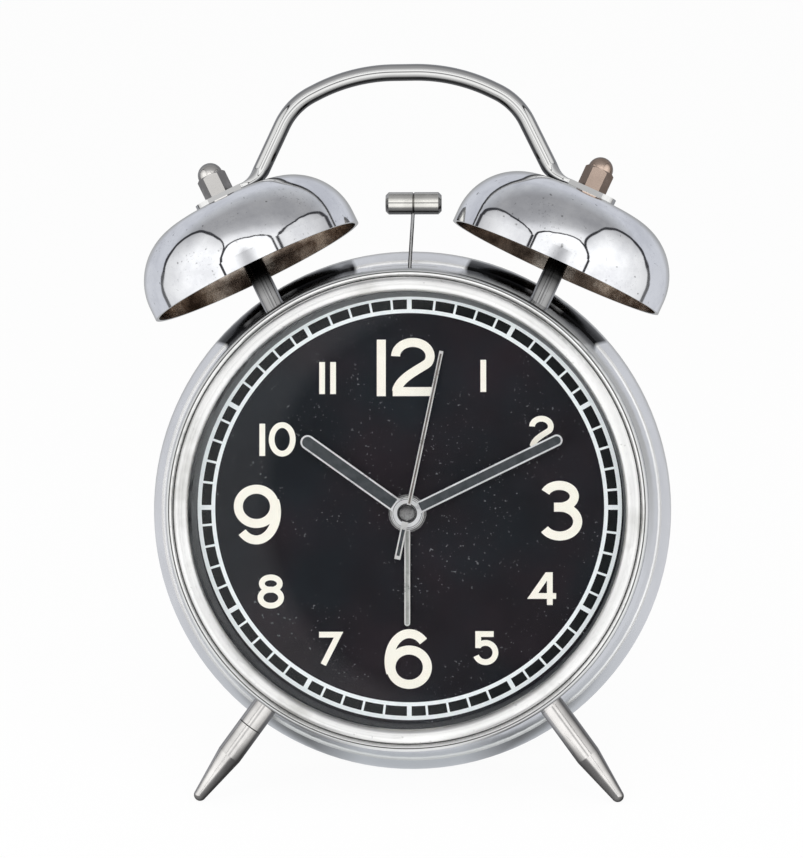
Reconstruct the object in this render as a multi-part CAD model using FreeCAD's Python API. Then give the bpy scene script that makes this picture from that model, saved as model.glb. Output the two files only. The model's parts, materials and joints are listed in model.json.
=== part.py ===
import FreeCAD, Part
import math
import os

from FreeCAD import Vector

# A twin bell alarm clock, in millimetres. It is drawn square to its dial: X to the viewer's right, Y to the
# rear, Z up, with the origin in the middle of the bezel's front. At the end every piece is leaned back until
# the clock stands on its two feet and its rear rim, with +Z up and the origin under its middle.

# Fits
RUNNING_GAP = 0.05
HOLE_GAP = 0.1
SEAT_GAP = 0.2
TURNING_GAP = 0.35

# Bezel, lens and dial
lens_radius = 50.6
lens_thickness = 1.6
lens_lap = 2.2
bezel_lip = 2.0
bezel_edge_width = 1.6
bezel_edge_inset = 0.45
bezel_edge_drop = 0.3
bezel_slope_width = 1.6
bezel_slope_inset = 0.7
bezel_slope_drop = 0.1
groove_width = 0.5
groove_depth = 0.5
groove_notch = 0.25
bead_radius = 0.75
bead_drop = 0.35
bezel_skirt_depth = 6.2
bezel_skirt_wall = 0.8
dial_thickness = 0.5
spacer_wall = 1.9
spacer_taper = 0.8
spacer_shift = 0.5

# Drum and rear rim
drum_step = 0.25
drum_flare = 3.3
drum_wall = 0.9
drum_length = 24.0
neck_length = 4.0
shoulder_width = 3.0
shoulder_thickness = 1.0
rim_overhang = 2.9
rim_crown = 14.0
rim_apex_depth = 8.0
rim_wall = 1.0
rim_length = 16.5
rim_corner = 1.6
panel_recess = 2.5
panel_seat_width = 4.4
panel_inset = 9.6
panel_thickness = 1.6
panel_screw_count = 3
panel_screw_radius = 1.0
panel_screw_head_radius = 2.0
panel_screw_head_height = 1.1
panel_screw_length = 5.0
panel_screw_slot = 0.8

# Hands
hub_drop = 0.8
hand_thickness = 0.3
second_length = 36.8
second_width = 0.9
second_tail = 10.4
second_tail_width = 1.35
second_angle = 12.0
minute_length = 38.2
minute_width = 2.6
minute_hub_radius = 3.1
minute_angle = 64.0
hour_length = 28.8
hour_width = 3.2
hour_hub_radius = 3.45
hour_angle = 305.5
alarm_length = 25.0
alarm_width = 1.3
alarm_hub_radius = 3.75
alarm_angle = 180.0
cap_radius = 1.95
cap_height = 0.9

# Movement
second_arbor_radius = 0.5
tube_wall = 0.5
bushing_wall = 0.9
bushing_nut_radius = 4.2
bushing_nut_thickness = 0.9
nut_slot_width = 1.0
movement_width = 54.0
movement_corner = 4.0
housing_wall = 1.2
mid_plate_thickness = 0.8
wheel_thickness = 1.0
wheel_gap = 0.5
wheel_module = 0.4
second_module = 0.3
cannon_teeth = 12
setting_wheel_teeth = 36
setting_pinion_teeth = 10
hour_teeth = 40
alarm_pinion_teeth = 12
alarm_wheel_teeth = 48
second_teeth = 48
transfer_pinion_teeth = 8
transfer_teeth = 40
rotor_teeth = 8
tooth_height_above = 0.85
tooth_height_below = 1.15
tooth_root_share = 0.66
tooth_tip_share = 0.20
stem_radius = 1.5
pivot_radius = 0.75
pivot_length = 0.8
transfer_direction = 90.0
rotor_direction = 150.0
rotor_magnet_radius = 2.6
stator_width = 8.0
stator_arm = 18.0
stepping_coil_length = 12.0
stepping_coil_wall = 1.2
stepping_coil_gap = 0.6
knob_radius = 7.5
knob_length = 5.5
knob_gap = 0.6
knob_flutes = 16
knob_flute_radius = 0.9
knob_flute_depth = 0.45
knob_edge = 0.6

# Battery
cell_radius = 7.25
cell_length = 49.2
cell_nub_radius = 2.6
cell_nub_length = 1.3
cell_drop = 24.0
contact_thickness = 0.4
contact_width = 6.0
contact_height = 10.0
contact_bow = 0.6
bay_wall = 1.2
bay_gap = 0.3
door_lip = 1.1
door_thickness = 1.4
door_tab_width = 10.0
door_tab_height = 1.2
door_pin_radius = 0.45
door_pin_length = 0.9

# Alarm switch
switch_x = 22.0
switch_z = 16.0
switch_travel = 4.0
switch_width = 3.0
switch_height = 5.0
switch_stand = 2.2
switch_stem = 2.0
switch_flange = 1.2

# Bells
bell_plane = 17.0
bell_turn = 0.65
bell_tilt = 25.4
bell_foot_x = 29.9
bell_reach = 8.7
bell_radius = 25.4
bell_straight = 2.9
bell_bend_radius = 14.45
bell_crown_slope = 5.4
bell_seat_radius = 4.0
bell_wall = 0.8
post_radius = 2.35
stud_radius = 1.5
stud_tail = 4.5
nut_across_flats = 5.9
nut_chamfer = 0.4
dome_nut_hex_height = 4.9
dome_nut_radius = 2.85
dome_nut_bore = 4.6
plain_nut_height = 2.2
washer_radius = 3.1
washer_thickness = 0.5

# Handle
handle_radius = 1.9
tab_thickness = 1.2
tab_width = 6.6
tab_outer_reach = 6.1
tab_inner_reach = 5.2
tab_lap = 0.4
arch_foot_inset = 4.35
arch_foot_rise = 3.49
arch_leg_inset = 7.19
arch_leg_rise = 14.99
arch_shoulder_inset = 13.95
arch_shoulder_rise = 6.95
arch_shoulder_bend = 15.0
arch_top_bend = 39.0

# Hammer and its magnet
hammer_pivot_x = -1.0
hammer_pivot_lift = 9.8
head_rise = 14.05
hammer_rest_angle = 3.6
head_radius = 2.52
head_length = 12.6
head_chamfer = 0.7
head_groove = 0.25
wire_radius = 0.42
slot_length = 15.0
slot_width = 2.4
bracket_thickness = 1.0
bracket_inner_width = 6.8
cheek_width = 5.6
cheek_top = 2.6
lever_hub_radius = 2.3
pivot_pin_radius = 1.0
armature_thickness = 1.5
armature_length = 7.8
magnet_drop = 4.4
magnet_gap = 2.5
core_radius = 1.6
pole_reach = 0.5
bobbin_radius = 3.9
bobbin_wall = 0.8
bobbin_length = 13.0
winding_radius = 3.6
leaf_thickness = 0.25
leaf_width = 3.0
leaf_foot = 3.0
bracket_tail = 4.5
bracket_screw_radius = 0.8
bracket_screw_offset = 3.0
bracket_screw_head = 1.3
bracket_screw_head_height = 0.8

# Feet
foot_plane = 14.0
foot_angle = 36.2
foot_radius = 2.83
foot_straight = 13.4
foot_taper = 11.1
foot_tip_radius = 1.4
foot_joint = 5.4
foot_joint_groove = 0.25
foot_tail = 4.4

# Radii that follow from the lens
bezel_opening_radius = lens_radius - lens_lap
bezel_crown_radius = bezel_opening_radius + bezel_edge_width
groove_radius = bezel_crown_radius + bezel_slope_width
groove_outer_radius = groove_radius + groove_width / 2
bezel_radius = groove_outer_radius + 2 * bead_radius
skirt_bore = bezel_radius - bezel_skirt_wall
drum_front_radius = bezel_radius + drum_step
drum_rear_radius = drum_front_radius + drum_flare
rim_radius = drum_rear_radius + rim_overhang
panel_radius = rim_radius - panel_inset

# Places along the clock's depth
lens_front = bezel_lip
lens_rear = lens_front + lens_thickness
hand_pitch = hand_thickness + TURNING_GAP
dial_front = lens_rear + TURNING_GAP + cap_height + 4 * hand_pitch + bushing_nut_thickness
dial_rear = dial_front + dial_thickness
second_front = lens_rear + TURNING_GAP + cap_height
arbor_front = second_front - cap_height / 2
minute_front = second_front + hand_pitch
hour_front = minute_front + hand_pitch
alarm_front = hour_front + hand_pitch
nut_front = dial_front - bushing_nut_thickness
drum_front = bezel_skirt_depth
drum_rear = drum_front + drum_length
neck_rear = drum_rear + neck_length
rim_apex = drum_rear + rim_apex_depth
rim_rear = drum_rear + rim_length
panel_front = rim_rear - panel_recess
panel_rear = panel_front + panel_thickness

# Levels of the wheels in the movement
housing_floor = dial_rear + housing_wall
wheel_pitch = wheel_thickness + wheel_gap
alarm_wheel_front = housing_floor + wheel_gap
hour_wheel_front = alarm_wheel_front + wheel_pitch
setting_wheel_front = hour_wheel_front + wheel_pitch
mid_plate_front = setting_wheel_front + wheel_pitch
mid_plate_rear = mid_plate_front + mid_plate_thickness
second_wheel_front = mid_plate_rear + wheel_gap
transfer_front = second_wheel_front + wheel_pitch
rotor_magnet_front = transfer_front + wheel_pitch
rear_wall_front = rotor_magnet_front + wheel_thickness + stepping_coil_wall + TURNING_GAP
movement_rear = rear_wall_front + housing_wall

# Nested tubes at the hub
minute_bore = second_arbor_radius + RUNNING_GAP
minute_tube_radius = minute_bore + tube_wall
hour_bore = minute_tube_radius + RUNNING_GAP
hour_tube_radius = hour_bore + tube_wall
alarm_bore = hour_tube_radius + RUNNING_GAP
alarm_tube_radius = alarm_bore + tube_wall
bushing_bore = alarm_tube_radius + RUNNING_GAP
bushing_radius = bushing_bore + bushing_wall

# Centres of the arbors, as (x, z)
hub = (0.0, -hub_drop)


def away(centre, distance, degrees):
    """The point at a distance and direction from a centre, counted from +X towards +Z."""
    turn = math.radians(degrees)
    return centre[0] + distance * math.cos(turn), centre[1] + distance * math.sin(turn)


setting_distance = wheel_module * (cannon_teeth + setting_wheel_teeth) / 2
setting_module = 2 * setting_distance / (setting_pinion_teeth + hour_teeth)
setting_centre = away(hub, setting_distance, 0.0)
alarm_distance = wheel_module * (alarm_pinion_teeth + alarm_wheel_teeth) / 2
alarm_centre = away(hub, alarm_distance, 180.0)
transfer_distance = second_module * (transfer_pinion_teeth + second_teeth) / 2
transfer_centre = away(hub, transfer_distance, transfer_direction)
rotor_distance = second_module * (rotor_teeth + transfer_teeth) / 2
rotor_centre = away(transfer_centre, rotor_distance, rotor_direction)


def drum_radius(depth):
    """The drum's outer radius at a depth."""
    share = (depth - drum_front) / drum_length
    return drum_front_radius + (drum_rear_radius - drum_front_radius) * share


def rim_outer(depth):
    """The rear rim's outer radius at a depth: an arc with its widest place at the apex."""
    return rim_radius - rim_crown + math.sqrt(rim_crown**2 - (depth - rim_apex) ** 2)


def face(start, steps, place):
    """A face inside an outline. A step is a point, or (point on an arc, end of the arc)."""
    edges = []
    here = start
    for step in steps:
        if isinstance(step[0], tuple):
            through, end = step
            edges.append(Part.Arc(place(*here), place(*through), place(*end)).toShape())
        else:
            end = step
            edges.append(Part.makeLine(place(*here), place(*end)))
        here = end
    if here != start:
        edges.append(Part.makeLine(place(*here), place(*start)))
    return Part.Face(Part.Wire(edges))


def turned(start, *steps, centre=(0.0, 0.0)):
    """A solid turned about a front-to-rear axis, from an outline of (radius, depth) points."""
    x, z = centre
    section = face(start, steps, lambda radius, depth: Vector(x + radius, depth, z))
    return section.revolve(Vector(x, 0, z), Vector(0, 1, 0), 360)


def spun(start, *steps):
    """A solid turned about +Z, from an outline of (radius, height) points."""
    section = face(start, steps, lambda radius, height: Vector(radius, 0, height))
    return section.revolve(Vector(0, 0, 0), Vector(0, 0, 1), 360)


def plate(start, *steps, front, thickness):
    """A flat piece from an outline of (x, z) points, seen from the front."""
    flat = face(start, steps, lambda x, z: Vector(x, front, z))
    return flat.extrude(Vector(0, thickness, 0))


def disc(radius, front, rear, centre=(0.0, 0.0)):
    return Part.makeCylinder(radius, rear - front, Vector(centre[0], front, centre[1]), Vector(0, 1, 0))


def tube(radius, bore, front, rear, centre=(0.0, 0.0)):
    return disc(radius, front, rear, centre).cut(disc(bore, front, rear, centre))


def block(x, y, z):
    """A box from three (low, high) pairs."""
    return Part.makeBox(x[1] - x[0], y[1] - y[0], z[1] - z[0], Vector(x[0], y[0], z[0]))


def about(centre, half):
    return centre - half, centre + half


def fused(*shapes):
    return shapes[0].multiFuse(list(shapes[1:])).removeSplitter()


def hexagon(across_flats, bottom, top):
    """A six-sided prism that stands on +Z."""
    corner = across_flats / math.sqrt(3)
    points = [
        Vector(corner * math.cos(math.radians(60 * k)), corner * math.sin(math.radians(60 * k)), bottom)
        for k in range(6)
    ]
    outline = Part.makePolygon(points + points[:1])
    return Part.Face(outline).extrude(Vector(0, 0, top - bottom))


def placed(shape, point, direction):
    """A piece drawn on +Z, stood on a point along a direction."""
    moved = shape.copy()
    moved.Placement = FreeCAD.Placement(point, FreeCAD.Rotation(Vector(0, 0, 1), direction))
    return moved


def mirrored(shape):
    return shape.mirror(Vector(0, 0, 0), Vector(1, 0, 0))


# Bell crown: a bend that ends a little short of level, then a gentle arc to the flat seat
crown_start = bell_radius - bell_bend_radius * (1 - math.sin(math.radians(bell_crown_slope)))
crown_rise = (crown_start - bell_seat_radius) * math.tan(math.radians(bell_crown_slope / 2))
bell_height = bell_straight + bell_bend_radius * math.cos(math.radians(bell_crown_slope)) + crown_rise
tab_bottom = bell_height + washer_thickness
tab_top = tab_bottom + tab_thickness

# Bell places: each post stands on the drum and leans outward by the tilt
bell_axis = Vector(math.sin(math.radians(bell_tilt)), 0, math.cos(math.radians(bell_tilt)))
bell_inward = Vector(-bell_axis.z, 0, bell_axis.x)
bell_foot = Vector(bell_foot_x, bell_plane, math.sqrt(drum_radius(bell_plane) ** 2 - bell_foot_x**2))
bell_mouth = bell_foot + bell_axis * bell_reach
tab_inner_end = bell_mouth + bell_axis * (tab_bottom + tab_thickness / 2) + bell_inward * tab_inner_reach


def on_bell(shape):
    """A piece drawn on +Z with its bell's mouth at the origin, put in the right bell's place."""
    moved = shape.copy()
    moved.Placement = FreeCAD.Placement(bell_mouth, FreeCAD.Rotation(Vector(0, 1, 0), bell_tilt))
    return moved


def swung(shape):
    """A bell or handle piece with the small turn that the drum's holes give them all."""
    moved = shape.copy()
    moved.rotate(Vector(0, 0, 0), Vector(0, 1, 0), -bell_turn)
    return moved


def both(shape):
    """The piece and its mirror image, as one group."""
    return Part.makeCompound([shape, mirrored(shape)])


# Feet: they point down and outward, square to the drum
foot_axis = Vector(math.sin(math.radians(foot_angle)), 0, -math.cos(math.radians(foot_angle)))
foot_top = Vector(0, foot_plane, 0) + foot_axis * drum_radius(foot_plane)
foot_tip_centre = foot_top + foot_axis * (foot_straight + foot_taper)

# The floor touches both foot tips and the rear rim, which gives the lean
rim_centre_depth = rim_apex
rim_centre_z = rim_crown - rim_radius
span = math.hypot(rim_centre_depth - foot_tip_centre.y, rim_centre_z - foot_tip_centre.z)
climb = math.atan2(rim_centre_z - foot_tip_centre.z, rim_centre_depth - foot_tip_centre.y)
lean = math.degrees(climb - math.asin((rim_crown - foot_tip_radius) / span))

# The coil on the stator's arm lies under the top of the movement
movement_top = hub[1] + movement_width / 2
stator_arm_z = movement_top - housing_wall - stepping_coil_gap - stepping_coil_wall - stator_width / 4

# Hammer places
hammer_pivot = Vector(hammer_pivot_x, bell_plane, movement_top + hammer_pivot_lift)
hammer_axis = Vector(
    math.sin(math.radians(hammer_rest_angle)), 0, math.cos(math.radians(hammer_rest_angle))
)
hammer_arm = (drum_radius(bell_plane) + head_rise - hammer_pivot.z) / hammer_axis.z
hammer_centre = hammer_pivot + hammer_axis * hammer_arm


# Case


def front_bezel():
    """The ring in front: a round inner edge, a gentle slope, a groove, a bead and a skirt over the collar."""
    bead_centre = groove_outer_radius + bead_radius
    groove_inner_radius = groove_radius - groove_width / 2
    return turned(
        (bezel_opening_radius, bezel_lip),
        (bezel_opening_radius, bezel_lip / 2),
        ((bezel_opening_radius + bezel_edge_inset, bezel_edge_drop), (bezel_crown_radius, 0.0)),
        ((groove_radius - bezel_slope_inset, bezel_slope_drop), (groove_inner_radius, groove_depth)),
        (groove_radius, groove_depth + groove_notch),
        (groove_outer_radius, groove_depth + groove_notch),
        ((bead_centre, bead_drop), (bezel_radius, bead_drop + bead_radius)),
        (bezel_radius, bezel_skirt_depth),
        (skirt_bore, bezel_skirt_depth),
        (skirt_bore, lens_front),
    )


def front_lens():
    return disc(lens_radius, lens_front, lens_rear)


def seat_radius():
    """The inner radius of the drum's front collar, which holds the dial and the spacer."""
    return lens_radius + SEAT_GAP


def dial_spacer():
    centre = (spacer_shift, 0.0)
    outer = seat_radius() - spacer_shift - HOLE_GAP
    return turned(
        (outer - spacer_wall, lens_rear),
        (outer, lens_rear),
        (outer, dial_front),
        (outer - spacer_wall - spacer_taper, dial_front),
        centre=centre,
    )


def dial_plate():
    hole = disc(bushing_radius + HOLE_GAP, dial_front, dial_rear, hub)
    return disc(seat_radius() - HOLE_GAP, dial_front, dial_rear).cut(hole)


def case_body():
    inner_front = drum_radius(dial_rear) - drum_wall
    neck_radius = drum_rear_radius - drum_wall
    seat = seat_radius()
    shoulder_rear = dial_rear + shoulder_thickness
    shell = turned(
        (seat, lens_rear),
        (skirt_bore, lens_rear),
        (skirt_bore, drum_front),
        (drum_front_radius, drum_front),
        (drum_rear_radius, drum_rear),
        (neck_radius, drum_rear),
        (neck_radius, neck_rear),
        (neck_radius - drum_wall, neck_rear),
        (neck_radius - drum_wall, drum_rear - drum_wall),
        (drum_radius(drum_rear - drum_wall) - drum_wall, drum_rear - drum_wall),
        (inner_front, shoulder_rear),
        (seat - shoulder_width, shoulder_rear),
        (seat - shoulder_width, dial_rear),
        (seat, dial_rear),
    )
    slot_x = about(hammer_pivot.x, slot_length / 2)
    slot_y = about(bell_plane, slot_width / 2)
    slot = block(slot_x, slot_y, (movement_top, rim_radius))
    bore = rod(stud_radius + HOLE_GAP, -drum_wall - post_radius, post_radius)
    stud_holes = swung(both(placed(bore, bell_foot, bell_axis)))
    foot_holes = both(placed(bore, foot_top, foot_axis))
    return shell.cut(slot).cut(stud_holes).cut(foot_holes)


def rod(radius, bottom, top):
    return Part.makeCylinder(radius, top - bottom, Vector(0, 0, bottom), Vector(0, 0, 1))


def drum_solid():
    """The drum filled in, to trim what stands on it."""
    return turned(
        (0.0, drum_front),
        (drum_front_radius, drum_front),
        (drum_rear_radius, drum_rear),
        (0.0, drum_rear),
    )


def rear_rim():
    neck_radius = drum_rear_radius - drum_wall
    recess_radius = panel_radius + SEAT_GAP
    corner = rim_rear - rim_corner
    corner_radius = rim_outer(corner)
    halfway = rim_corner * (1 - math.sqrt(0.5))
    inner_corner = corner - rim_wall / 2
    shape = turned(
        (neck_radius, drum_rear),
        (rim_outer(drum_rear), drum_rear),
        ((rim_radius, rim_apex), (corner_radius, corner)),
        ((corner_radius - halfway, rim_rear - halfway), (corner_radius - rim_corner, rim_rear)),
        (recess_radius, rim_rear),
        (recess_radius, panel_front),
        (recess_radius - panel_seat_width, panel_front),
        (recess_radius - panel_seat_width, panel_front - rim_wall),
        (recess_radius + rim_wall, panel_front - rim_wall),
        (recess_radius + rim_wall, rim_rear - rim_wall),
        (corner_radius - rim_corner - rim_wall / 2, rim_rear - rim_wall),
        (rim_outer(inner_corner) - rim_wall, inner_corner),
        ((rim_radius - rim_wall, rim_apex), (rim_outer(neck_rear) - rim_wall, neck_rear)),
        (neck_radius, neck_rear),
    )
    pilots = [disc(panel_screw_radius, panel_front - rim_wall, panel_front, at) for at in screw_places()]
    return shape.cut(Part.makeCompound(pilots))


def screw_places():
    radius = panel_radius - panel_seat_width / 2
    return [
        away((0.0, 0.0), radius, 90.0 + 360.0 * k / panel_screw_count) for k in range(panel_screw_count)
    ]


# Battery bay, measured from the cell that it holds
bay_half_length = (cell_length + cell_nub_length) / 2 + 2 * contact_thickness + contact_bow
bay_half_height = cell_radius + bay_gap
door_half_length = bay_half_length + door_lip
door_half_height = bay_half_height + door_lip
door_front = panel_rear - door_thickness
cell_centre_y = door_front - bay_gap - cell_radius
bay_floor = cell_centre_y - cell_radius - HOLE_GAP
door_edge_radius = door_thickness / 2
hinge_y = panel_rear - door_edge_radius
hinge_z = -cell_drop - door_half_height + door_edge_radius


def back_panel():
    body = disc(panel_radius, panel_front, panel_rear)
    outer = block(
        about(0, door_half_length + bay_wall),
        (bay_floor - bay_wall, panel_rear),
        about(-cell_drop, door_half_height + bay_wall),
    )
    hollow = block(about(0, bay_half_length), (bay_floor, panel_rear), about(-cell_drop, bay_half_height))
    rebate = block(
        about(0, door_half_length + HOLE_GAP),
        (door_front, panel_rear),
        about(-cell_drop, door_half_height + HOLE_GAP),
    )
    slot = block(
        about(switch_x, switch_travel / 2 + switch_width / 2 + HOLE_GAP),
        (panel_front, panel_rear),
        about(switch_z, switch_stem / 2 + HOLE_GAP),
    )
    holes = [disc(panel_screw_radius + HOLE_GAP, panel_front, panel_rear, at) for at in screw_places()]
    for at in (setting_centre, alarm_centre):
        holes.append(disc(stem_radius + TURNING_GAP, panel_front, panel_rear, at))
    holes.append(door_rod(door_pin_radius + HOLE_GAP, door_half_length + door_pin_length + HOLE_GAP))
    return fused(body, outer).cut(Part.makeCompound([hollow, rebate, slot] + holes))


def door_rod(radius, half_length):
    """A rod on the door's hinge line."""
    start = Vector(-half_length, hinge_y, hinge_z)
    return Part.makeCylinder(radius, 2 * half_length, start, Vector(1, 0, 0))


def battery_door():
    """The lid of the bay: a round lower edge with a pin at each end, and a finger tab on the upper edge."""
    tab_z = -cell_drop + door_half_height
    plate_part = block(about(0, door_half_length), (door_front, panel_rear), (hinge_z, tab_z))
    edge = door_rod(door_edge_radius, door_half_length)
    pins = door_rod(door_pin_radius, door_half_length + door_pin_length)
    tab = block(
        about(0, door_tab_width / 2),
        (panel_rear, panel_rear + door_tab_height),
        (tab_z - door_tab_height, tab_z),
    )
    return fused(plate_part, edge, pins, tab)


def battery_cell():
    length = cell_length + cell_nub_length
    start = Vector(-length / 2, cell_centre_y, -cell_drop)
    body = Part.makeCylinder(cell_radius, cell_length, start, Vector(1, 0, 0))
    nub_start = start + Vector(cell_length, 0, 0)
    nub = Part.makeCylinder(cell_nub_radius, cell_nub_length, nub_start, Vector(1, 0, 0))
    return fused(body, nub)


def battery_contact(side):
    """A spring strip at one end of the bay: flat on the bay's wall, bowed towards the cell."""
    wall = side * bay_half_length
    cell_end = side * (cell_length + cell_nub_length) / 2
    inner = cell_end + side * RUNNING_GAP
    middle = -cell_drop
    low, high = about(middle, contact_height / 2)
    back = wall - side * contact_thickness
    strip = face(
        (wall, low),
        [
            (back, low),
            ((inner, middle), (back, high)),
            (wall, high),
            ((inner + side * contact_thickness, middle), (wall, low)),
        ],
        lambda x, z: Vector(x, cell_centre_y - contact_width / 2, z),
    )
    return strip.extrude(Vector(0, contact_width, 0))


def panel_screws():
    screws = []
    for at in screw_places():
        head = disc(panel_screw_head_radius, panel_rear, panel_rear + panel_screw_head_height, at)
        shank = disc(panel_screw_radius, panel_rear - panel_screw_length, panel_rear, at)
        slot = block(
            about(at[0], panel_screw_head_radius),
            (panel_rear + panel_screw_head_height / 2, panel_rear + panel_screw_head_height),
            about(at[1], panel_screw_slot / 2),
        )
        screws.append(fused(head, shank).cut(slot))
    return Part.makeCompound(screws)


def alarm_switch():
    centre_x = switch_x - switch_travel / 2
    thumb = block(
        about(centre_x, switch_width / 2),
        (panel_rear + RUNNING_GAP, panel_rear + switch_stand),
        about(switch_z, switch_height / 2),
    )
    stem = block(
        about(centre_x, switch_width / 2),
        (panel_front - RUNNING_GAP, panel_rear + RUNNING_GAP),
        about(switch_z, switch_stem / 2),
    )
    flange = block(
        about(centre_x, switch_width / 2 + switch_flange),
        (panel_front - RUNNING_GAP - switch_flange, panel_front - RUNNING_GAP),
        about(switch_z, switch_height / 2 + switch_flange),
    )
    return fused(thumb, stem, flange)


# Hands


def bar_hand(length, width, hub_radius, bore, front, degrees):
    """A straight hand with a round tip, drawn towards 12 and turned clockwise."""
    half = width / 2
    bar = plate(
        (-half, 0.0),
        (-half, length - half),
        ((0.0, length), (half, length - half)),
        (half, 0.0),
        front=front,
        thickness=hand_thickness,
    )
    boss = disc(hub_radius, front, front + hand_thickness)
    hand = fused(bar, boss).cut(disc(bore, front, front + hand_thickness))
    hand.rotate(Vector(0, 0, 0), Vector(0, 1, 0), degrees)
    hand.translate(Vector(hub[0], 0, hub[1]))
    return hand


def second_hand():
    half = second_width / 2
    tail = second_tail_width / 2
    blade = block((-half, half), (second_front, second_front + hand_thickness), (0.0, second_length))
    end = block((-tail, tail), (second_front, second_front + hand_thickness), (-second_tail, 0.0))
    boss = disc(cap_radius, second_front, second_front + hand_thickness)
    hand = fused(blade, end, boss).cut(disc(second_arbor_radius, second_front, second_front + hand_thickness))
    hand.rotate(Vector(0, 0, 0), Vector(0, 1, 0), second_angle)
    hand.translate(Vector(hub[0], 0, hub[1]))
    return hand


def second_cap():
    """A shallow dome on the second hand: part of a ball."""
    top = second_front - cap_height
    ball = (cap_radius**2 + cap_height**2) / (2 * cap_height)
    halfway = math.asin(cap_radius / ball) / 2
    dome = turned(
        (0.0, top),
        (
            (ball * math.sin(halfway), top + ball * (1 - math.cos(halfway))),
            (cap_radius, second_front),
        ),
        (0.0, second_front),
        centre=hub,
    )
    return dome.cut(disc(second_arbor_radius, arbor_front, second_front, hub))


# Movement


def tooth_phase(teeth, partner_teeth, partner_phase, direction):
    """The angle of a wheel's first tooth, to mesh with a partner that sees it in a direction."""
    partner_pitch = 360.0 / partner_teeth
    pitch = 360.0 / teeth
    share = ((direction - partner_phase) % partner_pitch) / partner_pitch
    return direction + 180.0 + (share + 0.5) * pitch


def toothed(teeth, module, front, centre, phase, thickness=wheel_thickness):
    """A spur wheel with straight-sided teeth."""
    root = module * (teeth / 2 - tooth_height_below)
    tip = module * (teeth / 2 + tooth_height_above)
    pitch = 360.0 / teeth
    points = []
    for k in range(teeth):
        for radius, share in (
            (root, -tooth_root_share),
            (tip, -tooth_tip_share),
            (tip, tooth_tip_share),
            (root, tooth_root_share),
        ):
            x, z = away(centre, radius, phase + k * pitch + share * pitch / 2)
            points.append(Vector(x, front, z))
    outline = Part.makePolygon(points + points[:1])
    return Part.Face(outline).extrude(Vector(0, thickness, 0))


cannon_phase = 0.0
setting_wheel_phase = tooth_phase(setting_wheel_teeth, cannon_teeth, cannon_phase, 0.0)
hour_phase = 0.0
setting_pinion_phase = tooth_phase(setting_pinion_teeth, hour_teeth, hour_phase, 0.0)
alarm_wheel_phase = 0.0
alarm_pinion_phase = tooth_phase(alarm_pinion_teeth, alarm_wheel_teeth, alarm_wheel_phase, 180.0)
second_phase = 0.0
transfer_pinion_phase = tooth_phase(transfer_pinion_teeth, second_teeth, second_phase, transfer_direction)
transfer_phase = 0.0
rotor_phase = tooth_phase(rotor_teeth, transfer_teeth, transfer_phase, rotor_direction)


def cannon_pinion():
    """The minute tube with its pinion."""
    pinion = toothed(cannon_teeth, wheel_module, setting_wheel_front, hub, cannon_phase)
    shaft = disc(minute_tube_radius, minute_front, mid_plate_front - RUNNING_GAP, hub)
    return fused(pinion, shaft).cut(disc(minute_bore, minute_front, mid_plate_front, hub))


def hour_wheel():
    """The hour tube with its wheel."""
    wheel = toothed(hour_teeth, setting_module, hour_wheel_front, hub, hour_phase)
    shaft = disc(hour_tube_radius, hour_front, hour_wheel_front + wheel_thickness, hub)
    return fused(wheel, shaft).cut(disc(hour_bore, hour_front, mid_plate_front, hub))


def alarm_wheel():
    """The alarm tube with its wheel."""
    wheel = toothed(alarm_wheel_teeth, wheel_module, alarm_wheel_front, hub, alarm_wheel_phase)
    shaft = disc(alarm_tube_radius, alarm_front, alarm_wheel_front + wheel_thickness, hub)
    return fused(wheel, shaft).cut(disc(alarm_bore, alarm_front, mid_plate_front, hub))


def setting_wheel():
    """The wheel that turns the minute tube, with the pinion that turns the hour wheel."""
    wheel = toothed(
        setting_wheel_teeth, wheel_module, setting_wheel_front, setting_centre, setting_wheel_phase
    )
    pinion = toothed(
        setting_pinion_teeth,
        setting_module,
        hour_wheel_front,
        setting_centre,
        setting_pinion_phase,
        thickness=wheel_pitch,
    )
    bore = disc(pivot_radius, hour_wheel_front, mid_plate_front, setting_centre)
    return fused(wheel, pinion).cut(bore)


def alarm_pinion():
    pinion = toothed(alarm_pinion_teeth, wheel_module, alarm_wheel_front, alarm_centre, alarm_pinion_phase)
    return pinion.cut(disc(pivot_radius, alarm_wheel_front, mid_plate_front, alarm_centre))


def setting_stem(centre, front, thin_rear):
    """A stem from its wheel to its knob: thin in the wheel, thick behind it."""
    thin = disc(pivot_radius, front, thin_rear, centre)
    thick = disc(stem_radius, thin_rear, knob_front() + knob_length - knob_edge, centre)
    return fused(thin, thick)


def knob_front():
    return panel_rear + knob_gap


def knob(centre):
    rear = knob_front() + knob_length
    body = turned(
        (0.0, knob_front()),
        (knob_radius, knob_front()),
        (knob_radius, rear - knob_edge),
        (knob_radius - knob_edge, rear),
        (0.0, rear),
        centre=centre,
    )
    flutes = []
    for k in range(knob_flutes):
        at = away(centre, knob_radius + knob_flute_radius - knob_flute_depth, 360.0 * k / knob_flutes)
        flutes.append(disc(knob_flute_radius, knob_front(), rear, at))
    bore = disc(stem_radius, knob_front(), rear - knob_edge, centre)
    return body.cut(Part.makeCompound(flutes + [bore]))


def second_wheel():
    """The second wheel on its long arbor."""
    wheel = toothed(second_teeth, second_module, second_wheel_front, hub, second_phase)
    arbor = disc(second_arbor_radius, arbor_front, rear_wall_front + pivot_length, hub)
    return fused(wheel, arbor)


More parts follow.
